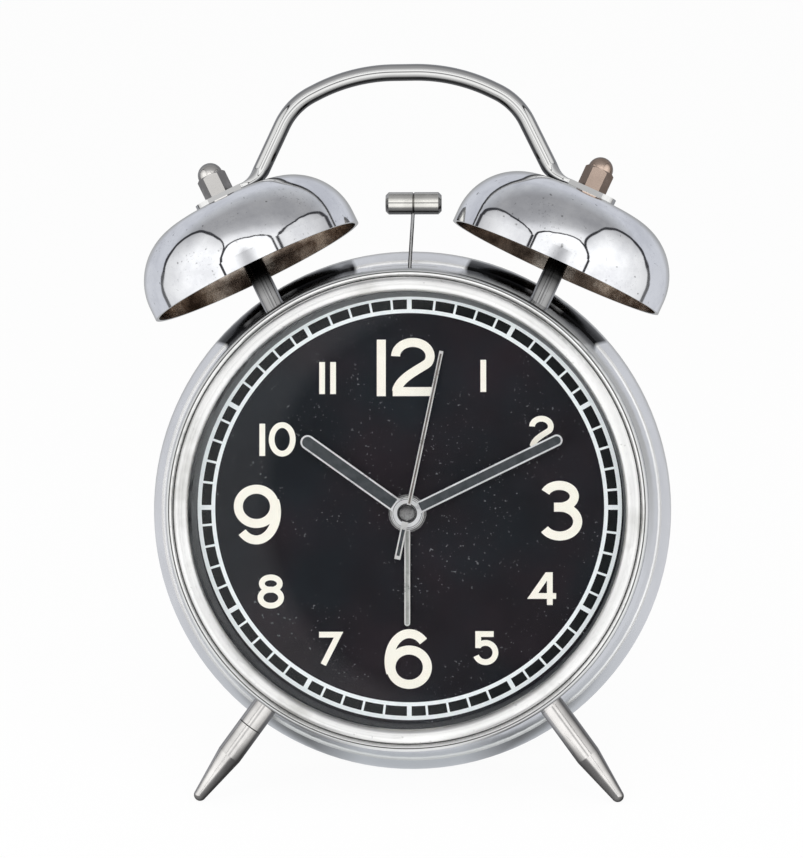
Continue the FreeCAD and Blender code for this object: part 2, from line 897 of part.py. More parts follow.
def transfer_wheel():
    pinion = toothed(
        transfer_pinion_teeth,
        second_module,
        second_wheel_front,
        transfer_centre,
        transfer_pinion_phase,
        thickness=wheel_pitch,
    )
    wheel = toothed(transfer_teeth, second_module, transfer_front, transfer_centre, transfer_phase)
    arbor = disc(
        second_arbor_radius, mid_plate_front + RUNNING_GAP, rear_wall_front + pivot_length, transfer_centre
    )
    return fused(pinion, wheel, arbor)


def step_rotor():
    pinion = toothed(
        rotor_teeth, second_module, transfer_front, rotor_centre, rotor_phase, thickness=wheel_pitch
    )
    magnet = disc(rotor_magnet_radius, rotor_magnet_front, rotor_magnet_front + wheel_thickness, rotor_centre)
    arbor = disc(
        second_arbor_radius, mid_plate_front + RUNNING_GAP, rear_wall_front + pivot_length, rotor_centre
    )
    return fused(pinion, magnet, arbor)


def stator():
    """The soft iron plate round the rotor's magnet, with an arm for the coil."""
    half = stator_width / 2
    left = rotor_centre[0] - half
    right = rotor_centre[0] + half
    bottom = rotor_centre[1] - half
    depth = (rotor_magnet_front, rotor_magnet_front + wheel_thickness)
    bar = block((left, right), depth, (bottom, stator_arm_z + half / 2))
    arm = block((left, right + stator_arm), depth, about(stator_arm_z, half / 2))
    hole = disc(rotor_magnet_radius + TURNING_GAP, *depth, rotor_centre)
    return fused(bar, arm).cut(hole)


def stepping_coil():
    """The coil wound on the stator's arm."""
    left = rotor_centre[0] + stator_width / 2 + (stator_arm - stepping_coil_length) / 2
    along = (left, left + stepping_coil_length)
    depth = (rotor_magnet_front, rotor_magnet_front + wheel_thickness)
    wall = stepping_coil_wall
    half = stator_width / 4
    winding = block(along, (depth[0] - wall, depth[1] + wall), about(stator_arm_z, half + wall))
    return winding.cut(block(along, depth, about(stator_arm_z, half)))


def box_half(front, rear):
    """A square block of the movement with rounded corners."""
    half = movement_width / 2
    body = block(about(hub[0], half), (front, rear), about(hub[1], half))
    edges = [e for e in body.Edges if abs(e.tangentAt(e.FirstParameter).y) > 0.9]
    return body.makeFillet(movement_corner, edges)


def box_hollow(front, rear):
    half = movement_width / 2 - housing_wall
    body = block(about(hub[0], half), (front, rear), about(hub[1], half))
    edges = [e for e in body.Edges if abs(e.tangentAt(e.FirstParameter).y) > 0.9]
    return body.makeFillet(movement_corner - housing_wall, edges)


def bracket_screw_places():
    x = hammer_pivot.x - cheek_width / 2 - bracket_tail / 2
    return [(x, bell_plane - bracket_screw_offset), (x, bell_plane + bracket_screw_offset)]


def bracket_screw_bores(radius, bottom, top):
    return [
        Part.makeCylinder(radius, top - bottom, Vector(x, y, bottom), Vector(0, 0, 1))
        for x, y in bracket_screw_places()
    ]


def movement_front():
    shell = box_half(dial_rear, mid_plate_front).cut(box_hollow(housing_floor, mid_plate_front))
    bushing = disc(bushing_radius, nut_front, housing_floor, hub)
    holes = [
        disc(bushing_bore, nut_front, housing_floor, hub),
        disc(pivot_radius + RUNNING_GAP, housing_floor - pivot_length, housing_floor, alarm_centre),
    ]
    holes += bracket_screw_bores(bracket_screw_radius, movement_top - housing_wall, movement_top)
    return fused(shell, bushing).cut(Part.makeCompound(holes))


def movement_mid_plate():
    holes = [
        disc(second_arbor_radius + RUNNING_GAP, mid_plate_front, mid_plate_rear, at)
        for at in (hub, transfer_centre, rotor_centre)
    ]
    holes.append(disc(pivot_radius + RUNNING_GAP, mid_plate_front, mid_plate_rear, setting_centre))
    holes.append(disc(stem_radius + RUNNING_GAP, mid_plate_front, mid_plate_rear, alarm_centre))
    return box_half(mid_plate_front, mid_plate_rear).cut(Part.makeCompound(holes))


def movement_rear_half():
    shell = box_half(mid_plate_rear, movement_rear).cut(box_hollow(mid_plate_rear, rear_wall_front))
    depth = rear_wall_front + pivot_length
    holes = [
        disc(second_arbor_radius + RUNNING_GAP, rear_wall_front, depth + RUNNING_GAP, at)
        for at in (hub, transfer_centre, rotor_centre)
    ]
    for at in (setting_centre, alarm_centre):
        holes.append(disc(stem_radius + RUNNING_GAP, rear_wall_front, movement_rear, at))
    holes += bracket_screw_bores(bracket_screw_radius, movement_top - housing_wall, movement_top)
    return shell.cut(Part.makeCompound(holes))


def bushing_nut():
    nut = tube(bushing_nut_radius, bushing_radius, nut_front, dial_front, hub)
    slot = block(
        about(hub[0], bushing_nut_radius),
        (nut_front, nut_front + bushing_nut_thickness / 2),
        about(hub[1], nut_slot_width / 2),
    )
    return nut.cut(slot)


# Bells and handle


def bell_form(inset):
    """The bell as a filled form, drawn on +Z with its mouth at the origin, all round smaller by the inset."""
    bend = bell_bend_radius - inset
    centre = bell_radius - bell_bend_radius
    slope = math.radians(bell_crown_slope)
    halfway = math.radians(45.0)
    shoulder = centre + bend * math.sin(slope)
    shoulder_height = bell_straight + bend * math.cos(slope)
    crown_run = shoulder - bell_seat_radius
    top = bell_height - inset
    return spun(
        (0.0, 0.0),
        (bell_radius - inset, 0.0),
        (bell_radius - inset, bell_straight),
        (
            (centre + bend * math.cos(halfway), bell_straight + bend * math.sin(halfway)),
            (shoulder, shoulder_height),
        ),
        (
            (shoulder - crown_run / 2, top - (top - shoulder_height) / 4),
            (bell_seat_radius, top),
        ),
        (0.0, top),
    )


def right_bell():
    bore = rod(stud_radius + HOLE_GAP, 0.0, bell_height)
    return on_bell(bell_form(0.0).cut(bell_form(bell_wall)).cut(bore))


def right_post():
    """The post from the drum to the inside of the bell's crown."""
    solid = rod(post_radius, -bell_reach - post_radius, bell_height - bell_wall)
    bore = rod(stud_radius + HOLE_GAP, -bell_reach - post_radius, bell_height)
    return on_bell(solid.cut(bore)).cut(drum_solid())


def right_washer():
    """The washer between the bell's crown and the handle's tab."""
    ring = rod(washer_radius, bell_height, tab_bottom)
    return on_bell(ring.cut(rod(stud_radius + HOLE_GAP, bell_height, tab_bottom)))


def right_stud():
    """The threaded stud through post, bell and handle, from inside the drum into the domed nut."""
    top = tab_top + dome_nut_bore - HOLE_GAP
    return on_bell(rod(stud_radius, -bell_reach - drum_wall - stud_tail, top))


def right_dome_nut():
    bottom = tab_top
    hex_top = bottom + dome_nut_hex_height
    nut = hexagon(nut_across_flats, bottom, hex_top)
    corner = nut_across_flats / math.sqrt(3)
    envelope = spun(
        (0.0, bottom),
        (corner, bottom),
        (corner, hex_top - nut_chamfer),
        (nut_across_flats / 2, hex_top),
        (0.0, hex_top),
    )
    dome = spun(
        (0.0, hex_top),
        (dome_nut_radius, hex_top),
        (
            (dome_nut_radius * math.sqrt(0.5), hex_top + dome_nut_radius * math.sqrt(0.5)),
            (0.0, hex_top + dome_nut_radius),
        ),
    )
    bore = rod(stud_radius, bottom, bottom + dome_nut_bore)
    return on_bell(fused(nut.common(envelope), dome).cut(bore))


def plain_nut():
    """A nut drawn on +Z, its seat at the origin and its body below."""
    return hexagon(nut_across_flats, -plain_nut_height, 0.0).cut(rod(stud_radius, -plain_nut_height, 0.0))


def inner_nuts(point, axis):
    """Nuts under the drum's wall, low enough that its curve and slope clear their corners."""
    corner = nut_across_flats / math.sqrt(3)
    outward = Vector(point.x, 0, point.z)
    tilt = outward.getAngle(axis)
    slope = math.hypot(drum_flare / drum_length, math.tan(tilt))
    lift = corner * slope + corner**2 / (2 * outward.Length) + RUNNING_GAP
    seat = point - axis * (drum_wall / math.cos(tilt) + lift)
    return both(placed(plain_nut(), seat, axis))


def rounded_path(points, radii):
    """Straight runs joined by tangent arcs, one arc at each inner point."""
    edges = []
    here = points[0]
    for before, corner, after, radius in zip(points, points[1:], points[2:], radii):
        back = (before - corner).normalize()
        ahead = (after - corner).normalize()
        half = back.getAngle(ahead) / 2
        reach = radius / math.tan(half)
        start = corner + back * reach
        end = corner + ahead * reach
        middle_way = (back + ahead).normalize()
        middle = corner + middle_way * (radius / math.sin(half) - radius)
        edges.append(Part.makeLine(here, start))
        edges.append(Part.Arc(start, middle, end).toShape())
        here = end
    edges.append(Part.makeLine(here, points[-1]))
    return Part.Wire(edges)


def handle():
    """One rod bent to an arch, its ends flattened and drilled for the studs."""
    half_span = tab_inner_end.x - arch_foot_inset
    height = tab_inner_end.z + arch_foot_rise
    spans = [(half_span, height)]
    for inset, rise in ((arch_leg_inset, arch_leg_rise), (arch_shoulder_inset, arch_shoulder_rise)):
        half_span -= inset
        height += rise
        spans.append((half_span, height))
    points = [Vector(-x, bell_plane, z) for x, z in spans]
    points += [Vector(x, bell_plane, z) for x, z in reversed(spans)]
    bends = [arch_shoulder_bend, arch_top_bend]
    path = rounded_path(points, bends + bends[::-1])
    left_way = (points[1] - points[0]).normalize()
    rod_outline = Part.Circle(Vector(0, 0, 0), Vector(0, 0, 1), handle_radius)
    section = outline_at(rod_outline, points[0], left_way)
    arch = path.makePipeShell([section], True, False)
    right_way = (points[-2] - points[-1]).normalize()
    flat_outline = Part.Ellipse(Vector(0, 0, 0), tab_width / 2, tab_thickness / 2)
    flat = outline_at(flat_outline, tab_inner_end, bell_inward)
    round_end = outline_at(rod_outline, points[-1], right_way)
    neck = Part.makeLoft([flat, round_end], True, False)
    tab = on_bell(handle_tab())
    return fused(arch, neck, tab, mirrored(neck), mirrored(tab))


def outline_at(curve, point, normal):
    """A curve drawn round +Z, stood on a point with its X axis from front to rear."""
    across = Vector(0, 1, 0)
    wire = Part.Wire([curve.toShape()])
    wire.Placement = FreeCAD.Placement(point, FreeCAD.Rotation(across, normal.cross(across), normal, "ZXY"))
    return wire


def handle_tab():
    """The flattened end, drawn on +Z above the bell's crown, its round tip on the outer side."""
    half = tab_width / 2
    tip = tab_outer_reach
    inner = -tab_inner_reach - tab_lap
    flat = face(
        (inner, -half),
        [(tip - half, -half), ((tip, 0.0), (tip - half, half)), (inner, half)],
        lambda x, y: Vector(x, y, tab_bottom),
    )
    hole = rod(stud_radius + HOLE_GAP, tab_bottom, tab_top)
    return flat.extrude(Vector(0, 0, tab_thickness)).cut(hole)


# Hammer


def on_hammer(shape):
    """A piece drawn on +Z with the pivot at the origin, put in its place at rest."""
    moved = shape.copy()
    moved.Placement = FreeCAD.Placement(hammer_pivot, FreeCAD.Rotation(Vector(0, 1, 0), hammer_rest_angle))
    return moved


def hammer_wire_form():
    return rod(wire_radius, lever_hub_radius / 2, hammer_arm + head_radius / 2)


def hammer_head():
    half = head_length / 2
    body = face(
        (-half, 0.0),
        [
            (-half, head_radius - head_chamfer),
            (-half + head_chamfer, head_radius),
            (-head_groove, head_radius),
            (0.0, head_radius - head_groove),
            (head_groove, head_radius),
            (half - head_chamfer, head_radius),
            (half, head_radius - head_chamfer),
            (half, 0.0),
        ],
        lambda x, radius: hammer_centre + Vector(x, 0, radius),
    ).revolve(hammer_centre, Vector(1, 0, 0), 360)
    return body.cut(hammer_wire())


def hammer_wire():
    return on_hammer(hammer_wire_form())


def hammer_lever():
    """The hub on the pivot pin, with the soft iron armature under it."""
    half_depth = bracket_inner_width / 2 - TURNING_GAP
    front = bell_plane - half_depth
    rear = bell_plane + half_depth
    pivot = (hammer_pivot.x, hammer_pivot.z)
    hub_part = disc(lever_hub_radius, front, rear, pivot)
    armature = block(
        about(pivot[0], armature_thickness / 2), (front, rear), (pivot[1] - armature_length, pivot[1])
    )
    lever = fused(hub_part, armature).cut(disc(pivot_pin_radius + RUNNING_GAP, front, rear, pivot))
    return lever.cut(hammer_wire())


def hammer_pivot_pin():
    half = bracket_inner_width / 2 + bracket_thickness
    pivot = (hammer_pivot.x, hammer_pivot.z)
    return disc(pivot_pin_radius, bell_plane - half, bell_plane + half, pivot)


magnet_z = hammer_pivot.z - magnet_drop
pole_x = hammer_pivot.x + magnet_gap
bobbin_left = pole_x + pole_reach
bobbin_right = bobbin_left + bobbin_length


def hammer_bracket():
    """A bent steel bracket on top of the movement: two cheeks for the pivot and an upright for the core."""
    left = hammer_pivot.x - cheek_width / 2 - bracket_tail
    right = bobbin_right + bracket_thickness
    depth = about(bell_plane, bracket_inner_width / 2 + bracket_thickness)
    base_top = movement_top + bracket_thickness
    base = block((left, right), depth, (movement_top, base_top))
    cheek_x = about(hammer_pivot.x, cheek_width / 2)
    top = hammer_pivot.z + cheek_top
    cheeks = [
        block(cheek_x, (depth[0], depth[0] + bracket_thickness), (movement_top, top)),
        block(cheek_x, (depth[1] - bracket_thickness, depth[1]), (movement_top, top)),
    ]
    upright = block((bobbin_right, right), depth, (movement_top, magnet_z + bobbin_radius))
    holes = [
        hammer_pivot_pin(),
        magnet_core(),
    ] + bracket_screw_bores(bracket_screw_radius, movement_top, base_top)
    return fused(base, *cheeks, upright).cut(Part.makeCompound(holes))


def along_x(radius, left, right):
    return Part.makeCylinder(radius, right - left, Vector(left, bell_plane, magnet_z), Vector(1, 0, 0))


def magnet_core():
    return along_x(core_radius, pole_x, bobbin_right + bracket_thickness)


def coil_bobbin():
    flanges = [
        along_x(bobbin_radius, bobbin_left, bobbin_left + bobbin_wall),
        along_x(bobbin_radius, bobbin_right - bobbin_wall, bobbin_right),
    ]
    barrel = along_x(core_radius + bobbin_wall / 2, bobbin_left, bobbin_right)
    return fused(barrel, *flanges).cut(magnet_core())


def coil_winding():
    left = bobbin_left + bobbin_wall
    right = bobbin_right - bobbin_wall
    return along_x(winding_radius, left, right).cut(along_x(core_radius + bobbin_wall / 2, left, right))


def hammer_spring():
    """A leaf on the bracket that brings the lever back to the middle."""
    base_top = movement_top + bracket_thickness
    leaf_x = hammer_pivot.x - armature_thickness / 2 - RUNNING_GAP - leaf_thickness
    depth = about(bell_plane, leaf_width / 2)
    blade_top = hammer_pivot.z - lever_hub_radius - TURNING_GAP
    blade = block((leaf_x, leaf_x + leaf_thickness), depth, (base_top, blade_top))
    foot = block((leaf_x - leaf_foot, leaf_x), depth, (base_top, base_top + leaf_thickness))
    return fused(blade, foot)


def bracket_screws():
    base_top = movement_top + bracket_thickness
    shanks = bracket_screw_bores(bracket_screw_radius, movement_top - housing_wall, base_top)
    heads = bracket_screw_bores(bracket_screw_head, base_top, base_top + bracket_screw_head_height)
    return Part.makeCompound([fused(shank, head) for shank, head in zip(shanks, heads)])


# Feet


def foot_form(grooved):
    """A turned foot drawn on +Z, its top at the origin: a straight part, a taper and a round tip."""
    shoulder = foot_straight
    end = foot_straight + foot_taper
    tip_x = foot_tip_radius * math.sqrt(0.5)
    body = spun(
        (0.0, -foot_radius / 2),
        (foot_radius, -foot_radius / 2),
        (foot_radius, shoulder),
        (foot_tip_radius, end),
        ((tip_x, end + tip_x), (0.0, end + foot_tip_radius)),
    )
    if grooved:
        ring = spun(
            (foot_radius - foot_joint_groove, foot_joint - foot_joint_groove / 2),
            (foot_radius + foot_joint_groove, foot_joint - foot_joint_groove / 2),
            (foot_radius + foot_joint_groove, foot_joint + foot_joint_groove / 2),
            (foot_radius - foot_joint_groove, foot_joint + foot_joint_groove / 2),
        )
        body = body.cut(ring)
    return body


def right_foot(grooved=False):
    body = placed(foot_form(grooved), foot_top, foot_axis).cut(drum_solid())
    tail = placed(rod(stud_radius, -drum_wall - foot_tail, foot_radius), foot_top, foot_axis)
    return fused(body, tail)


pieces = {
    "case_body": case_body(),
    "front_bezel": front_bezel(),
    "front_lens": front_lens(),
    "dial_spacer": dial_spacer(),
    "dial_plate": dial_plate(),
    "rear_rim": rear_rim(),
    "back_panel": back_panel(),
    "battery_door": battery_door(),
    "battery_cell": battery_cell(),
    "battery_contact_plus": battery_contact(1),
    "battery_contact_minus": battery_contact(-1),
    "back_panel_screws": panel_screws(),
    "alarm_switch": alarm_switch(),
    "second_cap": second_cap(),
    "second_hand": second_hand(),
    "minute_hand": bar_hand(
        minute_length, minute_width, minute_hub_radius, minute_tube_radius, minute_front, minute_angle
    ),
    "hour_hand": bar_hand(hour_length, hour_width, hour_hub_radius, hour_tube_radius, hour_front, hour_angle),
    "alarm_hand": bar_hand(
        alarm_length, alarm_width, alarm_hub_radius, alarm_tube_radius, alarm_front, alarm_angle
    ),
    "bushing_nut": bushing_nut(),
    "movement_front_half": movement_front(),
    "movement_mid_plate": movement_mid_plate(),
    "movement_rear_half": movement_rear_half(),
    "cannon_pinion": cannon_pinion(),
    "hour_wheel": hour_wheel(),
    "alarm_wheel": alarm_wheel(),
    "setting_wheel": setting_wheel(),
    "alarm_pinion": alarm_pinion(),
    "time_set_stem": setting_stem(setting_centre, hour_wheel_front, mid_plate_rear + HOLE_GAP),
    "alarm_set_stem": setting_stem(
        alarm_centre, housing_floor - pivot_length, alarm_wheel_front + wheel_thickness
    ),
    "time_set_knob": knob(setting_centre),
    "alarm_set_knob": knob(alarm_centre),
    "second_wheel": second_wheel(),
    "transfer_wheel": transfer_wheel(),
    "step_rotor": step_rotor(),
    "stator": stator(),
    "stepping_coil": stepping_coil(),
    "right_bell": swung(right_bell()),
    "left_bell": swung(mirrored(right_bell())),
    "right_bell_post": swung(right_post()),
    "left_bell_post": swung(mirrored(right_post())),
    "bell_washers": swung(both(right_washer())),
    "bell_studs": swung(both(right_stud())),
    "bell_stud_nuts": swung(inner_nuts(bell_foot, bell_axis)),
    "right_domed_nut": swung(right_dome_nut()),
    "left_domed_nut": swung(mirrored(right_dome_nut())),
    "handle": swung(handle()),
    "hammer_head": hammer_head(),
    "hammer_wire": hammer_wire(),
    "hammer_lever": hammer_lever(),
    "hammer_pivot_pin": hammer_pivot_pin(),
    "hammer_bracket": hammer_bracket(),
    "hammer_spring": hammer_spring(),
    "bracket_screws": bracket_screws(),
    "magnet_core": magnet_core(),
    "coil_bobbin": coil_bobbin(),
    "coil_winding": coil_winding(),
    "right_foot": right_foot(),
    "left_foot": mirrored(right_foot(grooved=True)),
    "foot_nuts": inner_nuts(foot_top, foot_axis),
}

# Lean the clock back, then put its box's bottom centre at the origin
leaned = {}
for name, shape in pieces.items():
    moved = shape.copy()
    moved.rotate(Vector(0, 0, 0), Vector(1, 0, 0), -lean)
    leaned[name] = moved
box = Part.makeCompound(list(leaned.values())).optimalBoundingBox(False)
shift = Vector(-(box.XMin + box.XMax) / 2, -(box.YMin + box.YMax) / 2, -box.ZMin)

os.makedirs("parts", exist_ok=True)
for name, shape in leaned.items():
    shape.translate(shift)
    shape.exportStep(os.path.join("parts", name + ".step"))
size = " x ".join(f"{length:.1f}" for length in (box.XLength, box.YLength, box.ZLength))
print(f"{len(leaned)} nodes, lean {lean:.2f} degrees, box {size} mm")
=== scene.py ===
import json
import math

import bmesh
import bpy
from mathutils import Matrix, Vector


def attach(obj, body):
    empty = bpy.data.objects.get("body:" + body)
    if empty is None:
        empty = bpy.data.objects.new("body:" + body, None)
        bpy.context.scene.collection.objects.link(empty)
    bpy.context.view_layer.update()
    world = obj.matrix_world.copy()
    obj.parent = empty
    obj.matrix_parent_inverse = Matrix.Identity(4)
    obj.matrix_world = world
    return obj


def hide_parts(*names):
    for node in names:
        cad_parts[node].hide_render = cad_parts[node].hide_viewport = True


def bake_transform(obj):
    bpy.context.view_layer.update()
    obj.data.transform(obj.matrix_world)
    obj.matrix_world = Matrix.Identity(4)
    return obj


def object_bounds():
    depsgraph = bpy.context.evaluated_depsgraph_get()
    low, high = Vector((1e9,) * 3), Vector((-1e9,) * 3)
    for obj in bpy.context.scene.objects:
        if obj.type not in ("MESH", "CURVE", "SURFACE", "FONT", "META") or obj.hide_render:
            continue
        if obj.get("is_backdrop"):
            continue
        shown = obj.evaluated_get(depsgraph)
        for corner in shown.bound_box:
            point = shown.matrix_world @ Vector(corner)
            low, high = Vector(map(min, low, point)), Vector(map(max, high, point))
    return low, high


MM = 0.001
PER_METRE = 1000.0

# The dial's frame: X across, Y towards the rear, Z up along the dial, in millimetres
DIAL_FRONT = 8.35
HUB_DROP = 0.8
HAND_PITCH = 0.65
MINUTE_FRONT = 5.5

# The bells, their posts, the handle and the hammer stand in one plane behind the dial
BELL_PLANE = 17.0
BELL_INSIDE = (34.6, BELL_PLANE, 56.6)
POST_FOOT = (29.9, BELL_PLANE, 46.3)
POST_LEAN = math.radians(25.4)
FOOT_LEAN = math.radians(36.2)

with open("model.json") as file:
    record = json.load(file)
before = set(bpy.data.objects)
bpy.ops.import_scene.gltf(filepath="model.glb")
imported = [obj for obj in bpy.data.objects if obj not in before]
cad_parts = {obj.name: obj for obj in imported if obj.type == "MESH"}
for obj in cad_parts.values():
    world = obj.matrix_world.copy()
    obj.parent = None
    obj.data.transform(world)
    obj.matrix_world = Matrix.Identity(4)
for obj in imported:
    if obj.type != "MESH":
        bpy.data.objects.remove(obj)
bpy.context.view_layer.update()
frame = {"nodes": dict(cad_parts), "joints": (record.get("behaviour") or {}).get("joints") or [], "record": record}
joints = {joint["name"]: joint for joint in frame["joints"]}
slot_of = {part["node"]: part["material_slot"] for part in frame["record"]["subparts"]}

across = Vector((1, 0, 0))
depth = Vector(joints["minute_turn"]["axis"])
upward = across.cross(depth)
hub_place = Vector(joints["minute_turn"]["pos_m"])
origin = hub_place - depth * DIAL_FRONT * MM + upward * HUB_DROP * MM
DIAL = Matrix.Translation(origin) @ Matrix((across, depth, upward)).transposed().to_4x4()


def place(x, y, z):
    """A point of the dial's frame in the row frame."""
    return DIAL @ (Vector((x, y, z)) * MM)


def on_side(sign, spot):
    """A point of the right side, or with sign -1 its twin on the left, in the row frame."""
    return place(sign * spot[0], spot[1], spot[2])


def mesh_piece(name, points, faces, body, material, smooth=False):
    """A piece from points of the dial's frame, attached to a body when one is given."""
    mesh = bpy.data.meshes.new(name)
    mesh.from_pydata([place(*p) for p in points], [], faces)
    mesh.update()
    mesh.materials.append(material)
    for face in mesh.polygons:
        face.use_smooth = smooth
    obj = bpy.data.objects.new(name, mesh)
    bpy.context.scene.collection.objects.link(obj)
    if body:
        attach(obj, body)
    return obj


def joined(shapes):
    """Several (points, faces) as one."""
    points = []
    faces = []
    for more_points, more_faces in shapes:
        first = len(points)
        points += more_points
        faces += [tuple(first + k for k in face) for face in more_faces]
    return points, faces


# Shader nodes

BLACK = (0, 0, 0)
WHITE = (1, 1, 1)


def new_material(name):
    material = bpy.data.materials.new(name)
    material.use_nodes = True
    tree = material.node_tree
    return material, tree, tree.nodes["Principled BSDF"]


def new_metal(name):
    material, tree, shader = new_material(name)
    shader.inputs["Metallic"].default_value = 1.0
    return material, tree, shader


def dimmed(colour, share):
    return tuple(share * c for c in colour)


def link(tree, source, target):
    tree.links.new(source, target)


def object_place(tree):
    return tree.nodes.new("ShaderNodeTexCoord").outputs["Object"]


def noise(tree, scale, detail, roughness=0.5):
    node = tree.nodes.new("ShaderNodeTexNoise")
    node.inputs["Scale"].default_value = scale
    node.inputs["Detail"].default_value = detail
    node.inputs["Roughness"].default_value = roughness
    link(tree, object_place(tree), node.inputs["Vector"])
    return node.outputs["Fac"]


def ramp(tree, factor, *stops):
    """A colour ramp of (position, colour) stops."""
    node = tree.nodes.new("ShaderNodeValToRGB")
    elements = node.color_ramp.elements
    while len(elements) < len(stops):
        elements.new(0.5)
    for element, (position, colour) in zip(elements, stops):
        element.position = position
        element.color = (*colour, 1.0)
    link(tree, factor, node.inputs["Fac"])
    return node.outputs["Color"]


def spread(tree, factor, low, high, start, end):
    """The factor's range from start to end, spread over low to high."""
    node = tree.nodes.new("ShaderNodeMapRange")
    node.inputs["From Min"].default_value = start
    node.inputs["From Max"].default_value = end
    node.inputs["To Min"].default_value = low
    node.inputs["To Max"].default_value = high
    link(tree, factor, node.inputs["Value"])
    return node.outputs["Result"]


def rising(tree, factor, start, end):
    return spread(tree, factor, 0.0, 1.0, start, end)


def falling(tree, factor, start, end):
    return spread(tree, factor, 1.0, 0.0, start, end)


def math_node(tree, operation, *values, clamp=False):
    """A Math node over numbers and sockets."""
    node = tree.nodes.new("ShaderNodeMath")
    node.operation = operation
    node.use_clamp = clamp
    for socket, value in zip(node.inputs, values):
        if isinstance(value, (int, float)):
            socket.default_value = value
        else:
            link(tree, value, socket)
    return node.outputs["Value"]


def product(tree, *factors):
    total = factors[0]
    for factor in factors[1:]:
        total = math_node(tree, "MULTIPLY", total, factor)
    return total


def vector_node(tree, operation, *values):
    """A Vector Math node over vectors and sockets."""
    node = tree.nodes.new("ShaderNodeVectorMath")
    node.operation = operation
    for socket, value in zip(node.inputs, values):
        if isinstance(value, bpy.types.NodeSocket):
            link(tree, value, socket)
        else:
            socket.default_value = value
    return node.outputs["Value" if operation in ("DOT_PRODUCT", "DISTANCE") else "Vector"]


def away_from(tree, point):
    """The way from a point of the row frame to the surface."""
    return vector_node(tree, "SUBTRACT", object_place(tree), point)


def along(tree, way):
    """How far a point lies along a way of the row frame, in metres."""
    return vector_node(tree, "DOT_PRODUCT", object_place(tree), way)


def millimetres(tree, way, start):
    """How far a point lies from a start along a way, in millimetres."""
    return math_node(
        tree, "MULTIPLY_ADD", along(tree, way), PER_METRE, -PER_METRE * start.dot(way)
    )


def faced(tree, way):
    """How far the surface faces a way of the row frame."""
    normal = tree.nodes.new("ShaderNodeTexCoord").outputs["Normal"]
    return vector_node(tree, "DOT_PRODUCT", normal, way)


def from_axis(tree):
    """A point's distance from the dial's axis and its height over it, in millimetres."""
    parts = [millimetres(tree, way, origin) for way in (across, upward)]
    squares = [math_node(tree, "MULTIPLY", part, part) for part in parts]
    return math_node(tree, "SQRT", math_node(tree, "ADD", *squares)), parts[1]


def bump(tree, height, strength, distance, shader):
    node = tree.nodes.new("ShaderNodeBump")
    node.inputs["Strength"].default_value = strength
    node.inputs["Distance"].default_value = distance
    link(tree, height, node.inputs["Height"])
    link(tree, node.outputs["Normal"], shader.inputs["Normal"])


def mixed(tree, factor, first, second, blend_type="MIX"):
    """Two colours or sockets mixed."""
    node = tree.nodes.new("ShaderNodeMix")
    node.data_type = "RGBA"
    node.blend_type = blend_type
    sockets = (node.inputs[0], node.inputs[6], node.inputs[7])
    for socket, value in zip(sockets, (factor, first, second)):
        if isinstance(value, float):
            socket.default_value = value
        elif isinstance(value, tuple):
            socket.default_value = (*value, 1.0)
        else:
            link(tree, value, socket)
    return node.outputs[2]


def multiplied(tree, first, second):
    return mixed(tree, 1.0, first, second, "MULTIPLY")


def mixed_surface(tree, factor, first, second):
    """The material's surface: the first shader, and by the factor the second."""
    node = tree.nodes.new("ShaderNodeMixShader")
    for source, socket in zip((factor, first, second), node.inputs):
        link(tree, source, socket)
    link(tree, node.outputs["Shader"], tree.nodes["Material Output"].inputs["Surface"])


# Painted reflections of the bells' dark undersides on the case, painted shade low on the rim, the bezel's
# scribed line and painted duller edge, and painted shade on the spacer, in millimetres of the dial's frame, and
# SHADE_ASIDE in metres
SHADE_SPAN = (-15.5, 20.0)
SHADE_FADE = 0.9
SHADE_SLANT = 0.8
SHADE_SLANT_RADIUS = 57.0
SHADE_ASIDE = (0.004, 0.006)
SHADE_HEIGHTS = (20.0, 22.0)
SHADE_RADII = (59.1, 59.5)
SHADE_DEPTHS = (36.5, 37.8)
RIM_PAINTED_SHADE_HEIGHTS = (-50.0, -20.0)
BEZEL_PAINTED_EDGE_RADII = (52.62, 52.72)
SCRIBED_RADII = (52.38, 52.44, 52.64, 52.70)
SPACER_SHADE_HEIGHTS = (-30.0, 40.0)
# Where painted shade begins and is full, deep in a bell and up a post, in metres up from a bell's inner point and
# a post's foot
BELL_DEEP_SHADE_RISE = (0.0015, 0.006)
POST_SHADE_RISE = (0.003, 0.007)
DIAL_SHEEN = 0.15


def painted_bell_reflection(tree, plating):
    """Painted reflection: the bells' dark undersides painted into the plating beneath them, with painted glints.
    """
    radius, height = from_axis(tree)
    beyond = math_node(tree, "ADD", radius, -SHADE_SLANT_RADIUS)
    zones = []
    for sign in (-1, 1):
        way = across * -sign * math.cos(POST_LEAN) + upward * math.sin(POST_LEAN)
        inward = millimetres(tree, way, on_side(sign, POST_FOOT))
        slanted = math_node(tree, "MULTIPLY_ADD", beyond, SHADE_SLANT, inward)
        aside = math_node(tree, "MULTIPLY", along(tree, across), float(sign))
        zones.append(
            product(
                tree,
                rising(tree, slanted, SHADE_SPAN[0], SHADE_SPAN[0] + SHADE_FADE),
                falling(tree, inward, SHADE_SPAN[1] - SHADE_FADE, SHADE_SPAN[1]),
                rising(tree, aside, *SHADE_ASIDE),
            )
        )
    shade = product(
        tree,
        math_node(tree, "MAXIMUM", *zones),
        rising(tree, height, *SHADE_HEIGHTS),
        falling(tree, radius, *SHADE_RADII),
        falling(tree, millimetres(tree, depth, origin), *SHADE_DEPTHS),
    )
    # Painted glints: pale patches inside the painted reflection
    painted_glints = ramp(
        tree,
        noise(tree, 75.0, 3.0, 0.6),
        (0.55, (0.012, 0.012, 0.013)),
        (0.70, (0.40, 0.40, 0.40)),
    )
    return mixed(tree, shade, plating, painted_glints)


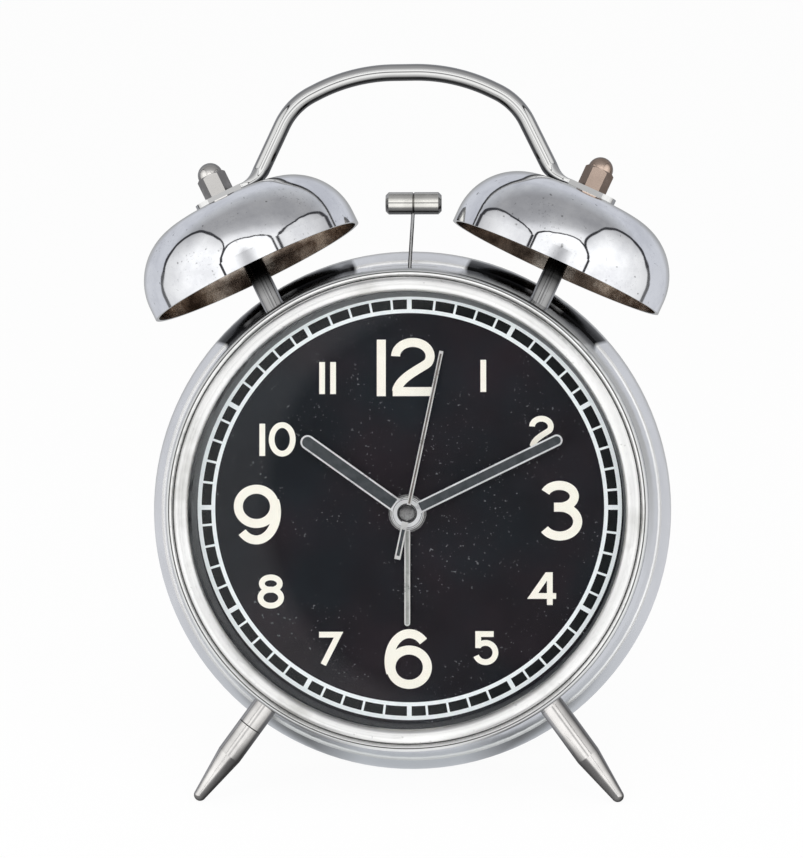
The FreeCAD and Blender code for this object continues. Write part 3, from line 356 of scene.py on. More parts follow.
def rim_painted_shade(tree, plating):
    """Painted shade, duller towards the floor, and the bells' painted reflection beneath them."""
    low = falling(tree, millimetres(tree, upward, origin), *RIM_PAINTED_SHADE_HEIGHTS)
    return painted_bell_reflection(tree, mixed(tree, low, plating, (0.70, 0.72, 0.72)))


def bezel_smudges_and_painted_edge(tree, plating):
    """Faint smudges, a scribed line, and outside it a duller edge that is a painted reflection."""
    radius = from_axis(tree)[0]
    smudges = ramp(tree, noise(tree, 60.0, 4.0, 0.6), (0.56, BLACK), (0.70, WHITE))
    plating = mixed(tree, smudges, plating, (0.72, 0.72, 0.70))
    edge = rising(tree, radius, *BEZEL_PAINTED_EDGE_RADII)
    plating = mixed(tree, edge, plating, (0.74, 0.75, 0.75))
    line = product(
        tree,
        rising(tree, radius, *SCRIBED_RADII[:2]),
        falling(tree, radius, *SCRIBED_RADII[2:]),
    )
    return mixed(tree, line, plating, (0.10, 0.10, 0.10))


# Materials


def chrome(name, colour, low, high, shade, specks=0.0, waves=0.03):
    """Polished plating with faint smears, the marks and painted reflections that its shade function adds, and dust
    specks where they show.
    """
    material, tree, shader = new_metal(name)
    smears = noise(tree, 55.0, 5.0, 0.6)
    link(tree, spread(tree, smears, low, high, 0.35, 0.75), shader.inputs["Roughness"])
    plating = ramp(tree, noise(tree, 90.0, 4.0), (0.4, dimmed(colour, 0.93)), (0.62, colour))
    if specks:
        dust = ramp(tree, noise(tree, 900.0, 1.0), (0.70, BLACK), (0.78, (specks,) * 3))
        plating = mixed(tree, dust, plating, dimmed(colour, 0.35))
    link(tree, shade(tree, plating), shader.inputs["Base Color"])
    bump(tree, noise(tree, 260.0, 2.0), waves, 0.0002, shader)
    return material


def turned_steel(name, colour, axis, way):
    """Steel with turning rings round an axis, painted light where it faces a way, painted shade elsewhere."""
    material, tree, shader = new_metal(name)
    node = tree.nodes.new("ShaderNodeTexNoise")
    node.noise_dimensions = "1D"
    node.inputs["Scale"].default_value = 9000.0
    node.inputs["Detail"].default_value = 2.0
    link(tree, along(tree, axis), node.inputs["W"])
    rings = node.outputs["Fac"]
    link(tree, spread(tree, rings, 0.10, 0.22, 0.3, 0.7), shader.inputs["Roughness"])
    cloud = noise(tree, 240.0, 4.0)
    worn = ramp(tree, cloud, (0.35, dimmed(colour, 0.85)), (0.65, colour))
    turned = math_node(tree, "MULTIPLY_ADD", cloud, 0.1, faced(tree, way))
    # Painted shade: the dark colour where the steel faces away from the way, painted light where it faces it
    plating = mixed(tree, rising(tree, turned, 0.5, 1.0), (0.20, 0.195, 0.19), worn)
    link(tree, plating, shader.inputs["Base Color"])
    bump(tree, rings, 0.12, 0.00002, shader)
    return material


def plain_metal(name, colour, rough, grain=300.0):
    material, tree, shader = new_metal(name)
    cloud = noise(tree, grain, 3.0)
    roughness = spread(tree, cloud, 0.8 * rough, 1.3 * rough, 0.3, 0.7)
    link(tree, roughness, shader.inputs["Roughness"])
    plating = ramp(tree, cloud, (0.3, dimmed(colour, 0.85)), (0.7, colour))
    link(tree, plating, shader.inputs["Base Color"])
    bump(tree, cloud, 0.08, 0.00005, shader)
    return material


def plastic(name, colour, rough, grain=1800.0, strength=0.25, painted_shade_top=None):
    """Plastic, a little mottled; given a top colour, instead painted shade from darker at the bottom up to that
    colour.
    """
    material, tree, shader = new_material(name)
    fine = noise(tree, grain, 2.0)
    roughness = spread(tree, fine, 0.85 * rough, min(1.0, 1.2 * rough), 0.3, 0.7)
    link(tree, roughness, shader.inputs["Roughness"])
    if painted_shade_top:
        # Painted shade: darker towards the bottom of the spacer
        height = rising(tree, millimetres(tree, upward, origin), *SPACER_SHADE_HEIGHTS)
        tone = mixed(tree, height, colour, painted_shade_top)
    else:
        tone = ramp(tree, noise(tree, 60.0, 3.0), (0.35, dimmed(colour, 0.88)), (0.65, colour))
    link(tree, tone, shader.inputs["Base Color"])
    bump(tree, fine, strength, 0.00003, shader)
    return material


def painted(name, rough, grain, *stops, sheen=0.5):
    """Ink or paint, a little uneven."""
    material, tree, shader = new_material(name)
    shader.inputs["Roughness"].default_value = rough
    shader.inputs["Specular IOR Level"].default_value = sheen
    link(tree, ramp(tree, noise(tree, grain, 4.0), *stops), shader.inputs["Base Color"])
    return material


def dial_black(name):
    """Satin black with dust and small scuffs."""
    material, tree, shader = new_material(name)
    shader.inputs["Roughness"].default_value = 0.42
    shader.inputs["Specular IOR Level"].default_value = DIAL_SHEEN
    ground = ramp(
        tree,
        noise(tree, 60.0, 4.0),
        (0.35, (0.0045, 0.0045, 0.006)),
        (0.7, (0.0095, 0.0095, 0.0115)),
    )
    dust = ramp(tree, noise(tree, 1500.0, 1.0), (0.68, BLACK), (0.76, (0.9, 0.9, 0.9)))
    where = ramp(tree, noise(tree, 90.0, 2.0), (0.42, BLACK), (0.60, WHITE))
    tint = ramp(tree, noise(tree, 38.0, 3.0), (0.4, (1.25, 0.85, 1.0)), (0.6, (0.75, 1.05, 1.2)))
    ground = multiplied(tree, ground, tint)
    dust = multiplied(tree, dust, where)
    link(tree, mixed(tree, dust, ground, (0.16, 0.17, 0.18)), shader.inputs["Base Color"])
    return material


def clear_glass(name):
    """Glass that lets the lamps reach what is behind it."""
    material, tree, shader = new_material(name)
    shader.inputs["Base Color"].default_value = (1, 1, 1, 1)
    shader.inputs["Roughness"].default_value = 0.0
    shader.inputs["IOR"].default_value = 1.34
    shader.inputs["Transmission Weight"].default_value = 1.0
    clear = tree.nodes.new("ShaderNodeBsdfTransparent")
    shadow = tree.nodes.new("ShaderNodeLightPath").outputs["Is Shadow Ray"]
    mixed_surface(tree, shadow, shader.outputs["BSDF"], clear.outputs["BSDF"])
    return material


def bell_plating(name, inner_point, way):
    """Plating outside and tarnished metal inside, told apart by which way the surface faces; inside also painted
    highlights and painted shade deeper in.
    """
    material, tree, shader = new_metal(name)
    inside = math_node(tree, "LESS_THAN", faced(tree, away_from(tree, inner_point)), 0.0)
    outer = ramp(
        tree,
        noise(tree, 120.0, 6.0, 0.65),
        (0.38, (0.78, 0.79, 0.82)),
        (0.58, (0.94, 0.95, 0.97)),
    )
    pits = ramp(tree, noise(tree, 1900.0, 2.0), (0.60, BLACK), (0.72, (0.55, 0.55, 0.55)))
    patches = ramp(tree, noise(tree, 70.0, 2.0), (0.48, BLACK), (0.66, WHITE))
    outer = mixed(tree, multiplied(tree, pits, patches), outer, (0.32, 0.32, 0.33))
    dust = ramp(tree, noise(tree, 800.0, 1.0), (0.71, BLACK), (0.79, (0.7, 0.7, 0.7)))
    outer = mixed(tree, dust, outer, (0.2, 0.2, 0.2))
    # Tarnish tone inside, its palest patches painted highlights
    inner = ramp(
        tree,
        noise(tree, 85.0, 5.0, 0.62),
        (0.36, (0.09, 0.065, 0.05)),
        (0.5, (0.33, 0.26, 0.21)),
        (0.62, (0.95, 0.86, 0.76)),
    )
    # Painted shade deeper inside the bell, towards its crown
    deep = inner_point.dot(way)
    deep_painted_shade = rising(tree, along(tree, way), *(deep + rise for rise in BELL_DEEP_SHADE_RISE))
    inner = mixed(tree, deep_painted_shade, inner, (0.03, 0.025, 0.02))
    link(tree, mixed(tree, inside, outer, inner), shader.inputs["Base Color"])
    smears = spread(tree, noise(tree, 60.0, 5.0, 0.6), 0.02, 0.09, 0.35, 0.75)
    rough = math_node(tree, "MULTIPLY_ADD", inside, 0.2, smears)
    link(tree, rough, shader.inputs["Roughness"])
    return material


def handle_metal(name, colour, painted_shade_colour, middle):
    """Polished rod with painted shade on the side that faces the arch's middle and painted grey shade on the
    outermost side.
    """
    material, tree, shader = new_metal(name)
    cloud = noise(tree, 90.0, 4.0)
    outward = vector_node(tree, "NORMALIZE", away_from(tree, middle))
    outer_side = math_node(tree, "MULTIPLY_ADD", cloud, 0.12, faced(tree, outward))
    plating = mixed(tree, rising(tree, outer_side, -0.6, -0.12), painted_shade_colour, colour)
    plating = mixed(tree, rising(tree, outer_side, 0.66, 0.86), plating, (0.30, 0.30, 0.30))
    link(tree, plating, shader.inputs["Base Color"])
    link(tree, spread(tree, cloud, 0.03, 0.09, 0.35, 0.75), shader.inputs["Roughness"])
    return material


def nut_metal(name, colour, painted_shade_colour, rough):
    """Painted light on the front, painted shade round the sides."""
    material, tree, shader = new_metal(name)
    cloud = noise(tree, 420.0, 4.0, 0.6)
    front = math_node(tree, "MULTIPLY_ADD", cloud, 0.25, faced(tree, -depth))
    plating = mixed(tree, rising(tree, front, 0.62, 0.98), painted_shade_colour, colour)
    link(tree, plating, shader.inputs["Base Color"])
    roughness = spread(tree, cloud, 0.8 * rough, 1.4 * rough, 0.3, 0.7)
    link(tree, roughness, shader.inputs["Roughness"])
    bump(tree, cloud, 0.06, 0.00005, shader)
    return material


def post_plating(name, foot, way):
    """Plating with painted shade, standing for the bell's dark inside as the post mirrors it, from a few
    millimetres above its foot.
    """
    material, tree, shader = new_metal(name)
    cloud = noise(tree, 220.0, 3.0)
    base = foot.dot(way)
    up = math_node(tree, "MULTIPLY_ADD", cloud, 0.0012, along(tree, way))
    post_painted_shade = rising(tree, up, *(base + rise for rise in POST_SHADE_RISE))
    plating = mixed(tree, post_painted_shade, (0.34, 0.34, 0.34), (0.03, 0.03, 0.03))
    link(tree, plating, shader.inputs["Base Color"])
    link(tree, spread(tree, cloud, 0.05, 0.12, 0.3, 0.7), shader.inputs["Roughness"])
    return material


HANDLE_MIDDLE = place(0, BELL_PLANE, 62)
STEEL = (0.86, 0.84, 0.82)
right_foot_axis = across * math.sin(FOOT_LEAN) - upward * math.cos(FOOT_LEAN)
left_foot_axis = -across * math.sin(FOOT_LEAN) - upward * math.cos(FOOT_LEAN)
# Ways that get painted light on the feet and the hammer
foot_light = (-depth - across * 0.22).normalized()
hammer_light = (-depth + upward * 0.25).normalized()

# Slot: the function that makes its material, and what follows the name
LOOKS = {
    "case_chrome": (chrome, (0.88, 0.89, 0.90), 0.05, 0.12, painted_bell_reflection),
    "bezel_chrome": (chrome, (0.97, 0.97, 0.96), 0.30, 0.40, bezel_smudges_and_painted_edge, 0.3, 0.004),
    "rim_chrome": (chrome, (0.96, 0.96, 0.96), 0.2, 0.3, rim_painted_shade),
    "handle_chrome": (handle_metal, (0.78, 0.78, 0.77), (0.10, 0.10, 0.10), HANDLE_MIDDLE),
    "nut_chrome": (nut_metal, (0.84, 0.82, 0.79), (0.22, 0.21, 0.20), 0.12),
    "nut_bronze": (nut_metal, (0.68, 0.53, 0.44), (0.20, 0.145, 0.11), 0.16),
    "foot_steel": (turned_steel, STEEL, right_foot_axis, foot_light),
    "hammer_steel": (turned_steel, (0.88, 0.87, 0.82), across, hammer_light),
    "wire_steel": (plain_metal, (0.42, 0.42, 0.42), 0.2),
    "lens_glass": (clear_glass,),
    "spacer_grey": (plastic, (0.028, 0.030, 0.034), 0.6, 1800.0, 0.25, (0.19, 0.20, 0.205)),
    "dial_black": (dial_black,),
    "hand_silver": (plain_metal, (0.86, 0.87, 0.88), 0.3),
    "second_silver": (plain_metal, (0.80, 0.80, 0.79), 0.3),
    "cap_black": (plain_metal, (0.24, 0.24, 0.24), 0.1),
    "hidden_steel": (plain_metal, (0.55, 0.55, 0.55), 0.3),
    "magnet_iron": (plain_metal, (0.35, 0.35, 0.35), 0.45),
    "movement_plastic": (plastic, (0.02, 0.02, 0.022), 0.55),
    "wheel_plastic": (plastic, (0.72, 0.72, 0.68), 0.4),
    "arbor_brass": (plain_metal, (0.70, 0.52, 0.26), 0.3),
    "coil_copper": (plain_metal, (0.60, 0.25, 0.12), 0.35, 1500.0),
    "back_plastic": (plastic, (0.018, 0.018, 0.02), 0.5),
    "knob_plastic": (plastic, (0.015, 0.015, 0.016), 0.25, 900.0, 0.1),
    "switch_plastic": (plastic, (0.6, 0.6, 0.59), 0.4),
    "cell_metal": (plastic, (0.06, 0.14, 0.26), 0.3, 300.0, 0.05),
    "contact_nickel": (plain_metal, (0.68, 0.66, 0.60), 0.2),
}
materials = {name: make(name, *values) for name, (make, *values) in LOOKS.items()}

# Nodes whose material goes by their own place, and the bright nut
own_materials = {
    "left_foot": turned_steel("left_foot_steel", STEEL, left_foot_axis, foot_light),
    "bushing_nut": plain_metal("bushing_silver", (0.88, 0.88, 0.87), 0.12),
}
for side, sign in (("left", -1), ("right", 1)):
    way = across * sign * math.sin(POST_LEAN) + upward * math.cos(POST_LEAN)
    own_materials[side + "_bell_post"] = post_plating(
        side + "_post_chrome", on_side(sign, POST_FOOT), way
    )
    # A point on the bell's axis, a little inside its mouth, tells the inner surface from the outer
    own_materials[side + "_bell"] = bell_plating(
        side + "_bell_chrome", on_side(sign, BELL_INSIDE), way
    )
for node_name, obj in frame["nodes"].items():
    look = own_materials.get(node_name) or materials[slot_of[node_name]]
    obj.material_slots[0].material = look


# Print on the dial

PRINT_HEIGHT = 0.05
STROKE_STEP = 0.008
SHARPEST_MITRE = 0.35


def ribbon(path, width, front, back, closed=False):
    """A flat stroke of even width along a path of (x, z) points."""
    count = len(path)
    half = width / 2
    left = []
    right = []
    for k, (x, z) in enumerate(path):
        before = path[k - 1] if k > 0 or closed else None
        after = path[(k + 1) % count] if k < count - 1 or closed else None
        ways = []
        if before:
            ways.append(Vector((x - before[0], z - before[1])).normalized())
        if after:
            ways.append(Vector((after[0] - x, after[1] - z)).normalized())
        normals = [Vector((-way.y, way.x)) for way in ways]
        normal = sum(normals, Vector((0, 0))).normalized()
        reach = half / max(SHARPEST_MITRE, normal.dot(normals[0]))
        left.append((x + normal.x * reach, z + normal.y * reach))
        right.append((x - normal.x * reach, z - normal.y * reach))
    points = []
    for side in (left, right):
        points += [(x, front, z) for x, z in side] + [(x, back, z) for x, z in side]
    left_front, left_back, right_front, right_back = 0, count, 2 * count, 3 * count
    faces = []
    for k in range(count if closed else count - 1):
        n = (k + 1) % count
        faces.append((left_front + k, right_front + k, right_front + n, left_front + n))
        faces.append((left_back + k, left_back + n, right_back + n, right_back + k))
        faces.append((left_front + k, left_front + n, left_back + n, left_back + k))
        faces.append((right_front + k, right_back + k, right_back + n, right_front + n))
    if not closed:
        last = count - 1
        faces.append((left_front, left_back, right_back, right_front))
        faces.append((left_front + last, right_front + last, right_back + last, left_back + last))
    return points, faces


def arc(centre, radii, start, end, steps=40):
    """Points of an ellipse's arc, in degrees from +X towards +Z."""
    points = []
    for k in range(steps + 1):
        turn = math.radians(start + (end - start) * k / steps)
        x = centre[0] + radii[0] * math.cos(turn)
        z = centre[1] + radii[1] * math.sin(turn)
        points.append((x, z))
    return points


def loop(centre, radii, steps=72):
    return arc(centre, radii, 0, 360 - 360 / steps, steps - 1)


def curve(start, first, second, end, steps=24):
    """A cubic curve from start to end with two guide points."""
    points = []
    for k in range(1, steps + 1):
        t = k / steps
        points.append(
            tuple(
                (1 - t) ** 3 * a + 3 * (1 - t) ** 2 * t * b + 3 * (1 - t) * t**2 * c + t**3 * d
                for a, b, c, d in zip(start, first, second, end)
            )
        )
    return points


def digit_paths(digit):
    """A digit's strokes as (path, closed), in a box from -1 to 1 both ways."""
    if digit == "0":
        return [(loop((0, 0), (1, 1)), True)]
    if digit == "1":
        return [([(0, 1), (0, -1)], False)]
    if digit == "2":
        bow = arc((-0.04, 0.44), (0.96, 0.56), 180, -28)
        leg = curve(bow[-1], (0.55, -0.02), (-0.86, -0.42), (-0.95, -1.0))
        return [(bow + leg, False), ([(-1.16, -1.0), (1.13, -1.0)], False)]
    if digit == "3":
        upper = arc((-0.05, 0.57), (0.86, 0.43), 158, -90) + [(-0.36, 0.14)]
        lower = [(-0.36, 0.14)] + arc((-0.03, -0.43), (1.03, 0.57), 90, -148)
        return [(upper, False), (lower, False)]
    if digit == "4":
        return [
            ([(0.66, 1.0), (0.66, -1.0)], False),
            ([(0.52, 0.92), (-0.98, -0.45), (1.26, -0.45)], False),
        ]
    if digit == "5":
        bowl = arc((-0.02, -0.32), (1.0, 0.69), 142, -160)
        return [([(0.8, 1.0), (-0.76, 1.0), (-0.76, 0.0)], False), (bowl, False)]
    if digit == "6":
        ring = loop((0.05, -0.33), (0.95, 0.68))
        stem = arc((0.06, -0.1), (1.06, 1.1), 205, 46)
        return [(ring, True), (stem, False)]
    if digit == "7":
        return [([(-1.0, 0.83), (0.74, 0.83), (-0.62, -1.0)], False)]
    if digit == "8":
        return [(loop((0, 0.56), (0.87, 0.44)), True), (loop((0, -0.43), (1.0, 0.57)), True)]
    turned_over = []
    for path, closed in digit_paths("6"):
        turned_over.append(([(-x, -z) for x, z in path], closed))
    return turned_over


# Stroke widths
LARGE = 2.0
SMALL = 1.28
# Digit, middle (x, z) from the hub, half width and half height of its middle line, stroke width
NUMERALS = {
    "12": [("1", -5.84, 32.4, 1.0, 6.3, LARGE), ("2", 1.36, 32.6, 4.0, 5.48, LARGE)],
    "1": [("1", 16.88, 30.6, 1.0, 3.57, SMALL)],
    "2": [("2", 29.89, 18.0, 2.16, 3.05, SMALL)],
    "3": [("3", 33.97, 0.6, 3.86, 5.62, LARGE)],
    "4": [("4", 30.1, -16.7, 2.32, 3.63, SMALL)],
    "5": [("5", 17.39, -29.9, 2.2, 3.1, SMALL)],
    "6": [("6", 0.16, -32.33, 4.26, 5.6, LARGE)],
    "7": [("7", -17.2, -30.0, 2.49, 3.64, SMALL)],
    "8": [("8", -30.47, -17.4, 2.3, 3.15, SMALL)],
    "9": [("9", -33.48, -0.29, 4.26, 5.62, LARGE)],
    "10": [("1", -32.4, 16.4, 1.0, 3.6, SMALL), ("0", -27.95, 16.5, 2.36, 3.19, SMALL)],
    "11": [("1", -19.05, 30.16, 1.0, 3.57, SMALL), ("1", -16.6, 30.16, 1.0, 3.57, SMALL)],
}


def printed(name, worn, colour):
    """Ink on the dial."""
    return painted(name, 0.55, 700.0, (0.32, worn), (0.5, colour))


cream = printed("numeral_cream", (0.90, 0.875, 0.775), (0.92, 0.895, 0.80))
bluish = printed("track_white", (0.83, 0.89, 0.91), (0.89, 0.94, 0.95))
track_dark = painted(
    "track_dark",
    0.4,
    350.0,
    (0.35, (0.0015, 0.0025, 0.003)),
    (0.7, (0.004, 0.0055, 0.006)),
    sheen=DIAL_SHEEN,
)

for name, digits in NUMERALS.items():
    strokes = []
    for digit, x, z, wide, high, width in digits:
        for path, closed in digit_paths(digit):
            scaled = [(x + wide * u, z - HUB_DROP + high * v) for u, v in path]
            front = DIAL_FRONT - PRINT_HEIGHT - STROKE_STEP * len(strokes)
            strokes.append(ribbon(scaled, width, front, DIAL_FRONT, closed))
    points, faces = joined(strokes)
    mesh_piece("numeral_" + name, points, faces, "base", cream)

TRACK_CENTRE = (0.4, 0.53)
TRACK_INNER = (43.31, 44.18)
TRACK_OUTER = (46.34, 47.26)
GROUND_INSET = 0.2
HOUR_TICK = 1.05
MINUTE_TICK = 0.52
MINUTE_TICK_TURN = 1.05
RING_STEPS = 180


def track_ring(radii, height):
    middle = sum(radii) / 2
    path = loop(TRACK_CENTRE, (middle, middle), RING_STEPS)
    return ribbon(path, radii[1] - radii[0], DIAL_FRONT - height, DIAL_FRONT, True)


shapes = [track_ring(TRACK_INNER, PRINT_HEIGHT), track_ring(TRACK_OUTER, PRINT_HEIGHT)]
for k in range(60):
    on_hour = k % 5 == 0
    turn = math.radians(6.0 * k + (0.0 if on_hour else MINUTE_TICK_TURN))
    line = [
        (TRACK_CENTRE[0] + radius * math.sin(turn), TRACK_CENTRE[1] + radius * math.cos(turn))
        for radius in (TRACK_INNER[1], TRACK_OUTER[0])
    ]
    width = HOUR_TICK if on_hour else MINUTE_TICK
    shapes.append(ribbon(line, width, DIAL_FRONT - PRINT_HEIGHT, DIAL_FRONT))
points, faces = joined(shapes)
mesh_piece("minute_track", points, faces, "base", bluish)
ground_radii = (TRACK_INNER[0] + GROUND_INSET, TRACK_OUTER[1] - GROUND_INSET)
points, faces = track_ring(ground_radii, PRINT_HEIGHT / 2)
mesh_piece("minute_track_ground", points, faces, "base", track_dark)


# Dark faces on the hands, and painted shade at the steps between the hubs

FACE_HEIGHT = 0.03
STEP_HEIGHT = 0.02
TIP_STEPS = 16
NUT_HEIGHT = 0.9


def hand_fill(name, body, front, degrees, start, end, width, material, round_tip=True):
    """A dark inlay on a hand's front, from start to end along it."""
    half = width / 2
    outline = [(-half, start), (-half, end - half)]
    if round_tip:
        outline += arc((0, end - half), (half, half), 180, 0, TIP_STEPS)[1:-1]
    outline += [(half, end - half), (half, start)]
    c, s = math.cos(math.radians(degrees)), math.sin(math.radians(degrees))
    placed = [(x * c + z * s, -x * s + z * c - HUB_DROP) for x, z in outline]
    count = len(placed)
    points = [(x, y, z) for y in (front - FACE_HEIGHT, front) for x, z in placed]
    faces = [tuple(range(count)), tuple(range(2 * count - 1, count - 1, -1))]
    faces += [(k, count + k, count + (k + 1) % count, (k + 1) % count) for k in range(count)]
    mesh_piece(name, points, faces, body, material)


def enamel(name, dark, light):
    """Paint on a hand, a little cloudy."""
    return painted(name, 0.4, 600.0, (0.35, dark), (0.68, light))


slate = enamel("hand_slate", (0.018, 0.023, 0.027), (0.042, 0.048, 0.054))
grey = enamel("alarm_grey", (0.22, 0.23, 0.22), (0.36, 0.37, 0.35))
brown = enamel("second_brown", (0.10, 0.09, 0.08), (0.17, 0.155, 0.14))
# Dark paint used as painted shade at the hub steps and in the grooves
shaded = enamel("painted_step_shade", (0.012, 0.012, 0.012), (0.03, 0.03, 0.03))

SECOND_FRONT = MINUTE_FRONT - HAND_PITCH
HOUR_FRONT = MINUTE_FRONT + HAND_PITCH
ALARM_FRONT = MINUTE_FRONT + 2 * HAND_PITCH
# Body, front, degrees clockwise from twelve, start and end from the hub, width, paint, round tip
HAND_FACES = {
    "minute_hand_face": ("minute_train", MINUTE_FRONT, 64.0, 3.2, 37.8, 1.85, slate),
    "hour_hand_face": ("hour_train", HOUR_FRONT, 305.5, 3.6, 28.4, 2.45, slate),
    "second_hand_line": ("second_train", SECOND_FRONT, 12.0, 2.2, 36.4, 0.42, brown, False),
    "second_hand_tail": ("second_train", SECOND_FRONT, 12.0, -9.6, -3.3, 0.7, slate, False),
    "alarm_hand_line": ("alarm_pointer", ALARM_FRONT, 180.0, 3.9, 24.7, 0.72, grey),
}
for name, values in HAND_FACES.items():
    hand_fill(name, *values)

# Body, slot, front, inner and outer radius
HUB_STEPS = {
    "minute_hub_painted_shade": ("minute_train", "hand_silver", MINUTE_FRONT, 1.97, 2.22),
    "hour_hub_painted_shade": ("hour_train", "hand_silver", HOUR_FRONT, 3.11, 3.22),
    "alarm_hub_painted_shade": ("alarm_pointer", "second_silver", ALARM_FRONT, 3.47, 3.57),
    "nut_painted_shade": ("base", "arbor_brass", DIAL_FRONT - NUT_HEIGHT, 3.77, 3.87),
}
# Each a dark ring of painted shade where one hub steps down to the next
for name, (body, slot, front, inner, outer) in HUB_STEPS.items():
    middle = (inner + outer) / 2
    path = loop((0, -HUB_DROP), (middle, middle))
    points, faces = ribbon(path, outer - inner, front - STEP_HEIGHT, front, True)
    mesh_piece(name, points, faces, body, shaded)

# The handle: one rod that flattens into a drilled tab at each end
HANDLE_CORNERS = [(36.989, 73.316), (33.524, 74.961), (25.449, 91.796), (11.499, 98.746)]
HANDLE_BENDS = [7.5, 15.0, 39.0]
ROD_RADIUS = 1.9
TAB_HALF_THICKNESS = 0.6
TAB_HALF_WIDTH = 3.3
TAB_CENTRE = (41.686, 71.086)
TAB_INNER = 5.2
TAB_TIP = 6.1
TAB_HOLE = 1.6
FLATTENING = 6.2
PATH_STEP = 0.4
FEWEST_BEND_STEPS = 6
ROD_SIDES = 40
TAB_SIDES = 96
TINY = 1e-6
BELL_TURN = math.radians(0.65)


def swung(x, z):
    """The bells, their posts and the handle stand a little turned on the case."""
    c, s = math.cos(BELL_TURN), math.sin(BELL_TURN)
    return x * c - z * s, x * s + z * c


def bent_path(corners, bends):
    """Points along straight runs and round bends."""
    path = [Vector(corners[0])]
    for before, corner, after, bend in zip(corners, corners[1:], corners[2:], bends):
        corner = Vector(corner)
        back_way = (Vector(before) - corner).normalized()
        on_way = (Vector(after) - corner).normalized()
        half = math.acos(back_way.dot(on_way)) / 2
        centre = corner + (back_way + on_way).normalized() * (bend / math.sin(half))
        start = corner + back_way * (bend / math.tan(half)) - centre
        turn = math.pi - 2 * half
        side = 1 if start.x * on_way.y - start.y * on_way.x > 0 else -1
        count = max(FEWEST_BEND_STEPS, int(turn * bend / PATH_STEP))
        for k in range(count + 1):
            angle = side * turn * k / count
            c, s = math.cos(angle), math.sin(angle)
            path.append(centre + Vector((start.x * c - start.y * s, start.x * s + start.y * c)))
    path.append(Vector(corners[-1]))
    dense = [path[0]]
    for point in path[1:]:
        last = dense[-1]
        pieces = max(1, math.ceil((point - last).length / PATH_STEP))
        dense += [last.lerp(point, k / pieces) for k in range(1, pieces + 1)]
    return dense


def rod_rings(path):
    """Rings along the path, flat at both ends and round between."""
    gaps = [(b - a).length for a, b in zip(path, path[1:])]
    reached = [sum(gaps[:k]) for k in range(len(path))]
    rings = []
    for k, point in enumerate(path):
        way = (path[min(k + 1, len(path) - 1)] - path[max(k - 1, 0)]).normalized()
        share = min(1.0, min(reached[k], reached[-1] - reached[k]) / FLATTENING)
        share = share * share * (3 - 2 * share)
        deep = TAB_HALF_WIDTH + (ROD_RADIUS - TAB_HALF_WIDTH) * share
        thick = TAB_HALF_THICKNESS + (ROD_RADIUS - TAB_HALF_THICKNESS) * share
        # The power of the ring's outline: 1 for an ellipse, less for a box with rounded corners
        power = 2 / (8 - 6 * math.sqrt(share))
        ring = []
        for j in range(ROD_SIDES):
            turn = 2 * math.pi * j / ROD_SIDES
            u = math.copysign(abs(math.cos(turn)) ** power, math.cos(turn)) * deep
            v = math.copysign(abs(math.sin(turn)) ** power, math.sin(turn)) * thick
            x, z = swung(point.x - way.y * v, point.y + way.x * v)
            ring.append((x, BELL_PLANE + u, z))
        rings.append(ring)
    return rings


def tab_plate(sign):
    """A tab, flat with a round tip and a hole for the stud."""
    out = Vector((sign * math.cos(POST_LEAN), -math.sin(POST_LEAN)))
    rise = Vector((sign * math.sin(POST_LEAN), math.cos(POST_LEAN)))
    centre = Vector((sign * TAB_CENTRE[0], TAB_CENTRE[1]))
    corner = math.atan2(TAB_HALF_WIDTH, -TAB_INNER)
    turns = [2 * math.pi * k / TAB_SIDES - math.pi for k in range(TAB_SIDES)]
    turns = sorted(turns + [corner, -corner])
    round_centre = TAB_TIP - TAB_HALF_WIDTH
    layers = [[], [], [], []]
    for turn in turns:
        c, s = math.cos(turn), math.sin(turn)
        reach = TAB_HALF_WIDTH / max(abs(s), TINY)
        if c < 0:
            reach = min(reach, -TAB_INNER / c)
        elif reach * c > round_centre:
            reach = round_centre * c + math.sqrt(TAB_HALF_WIDTH**2 - (round_centre * s) ** 2)
        edges = ((reach, 1), (TAB_HOLE, 1), (TAB_HOLE, -1), (reach, -1))
        for layer, (length, level) in zip(layers, edges):
            spot = centre + out * (length * c) + rise * (level * TAB_HALF_THICKNESS)
            x, z = swung(spot.x, spot.y)
            layer.append((x, BELL_PLANE + length * s, z))
    count = len(turns)
    faces = []
    for a in range(4):
        b = (a + 1) % 4
        for k in range(count):
            n = (k + 1) % count
            faces.append((a * count + k, a * count + n, b * count + n, b * count + k))
    return [point for layer in layers for point in layer], faces


corners = HANDLE_CORNERS + [(-x, z) for x, z in reversed(HANDLE_CORNERS)]
rings = rod_rings(bent_path(corners, HANDLE_BENDS + HANDLE_BENDS[::-1]))
rod_points = [point for ring in rings for point in ring]
last_ring = range(len(rod_points) - 1, len(rod_points) - ROD_SIDES - 1, -1)
rod_faces = [tuple(range(ROD_SIDES)), tuple(last_ring)]
for k in range(len(rings) - 1):
    for j in range(ROD_SIDES):
        n = (j + 1) % ROD_SIDES
        first, second = k * ROD_SIDES, (k + 1) * ROD_SIDES
        rod_faces.append((first + j, first + n, second + n, second + j))
points, faces = joined([(rod_points, rod_faces), tab_plate(-1), tab_plate(1)])
chromed = materials["handle_chrome"]
handle = mesh_piece("handle_rod", points, faces, "base", chromed, True)
for k, face in enumerate(handle.data.polygons):
    face.use_smooth = 2 <= k < len(rod_faces)
whole = bmesh.new()
whole.from_mesh(handle.data)
bmesh.ops.recalc_face_normals(whole, faces=whole.faces)
whole.to_mesh(handle.data)
whole.free()
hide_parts("handle")

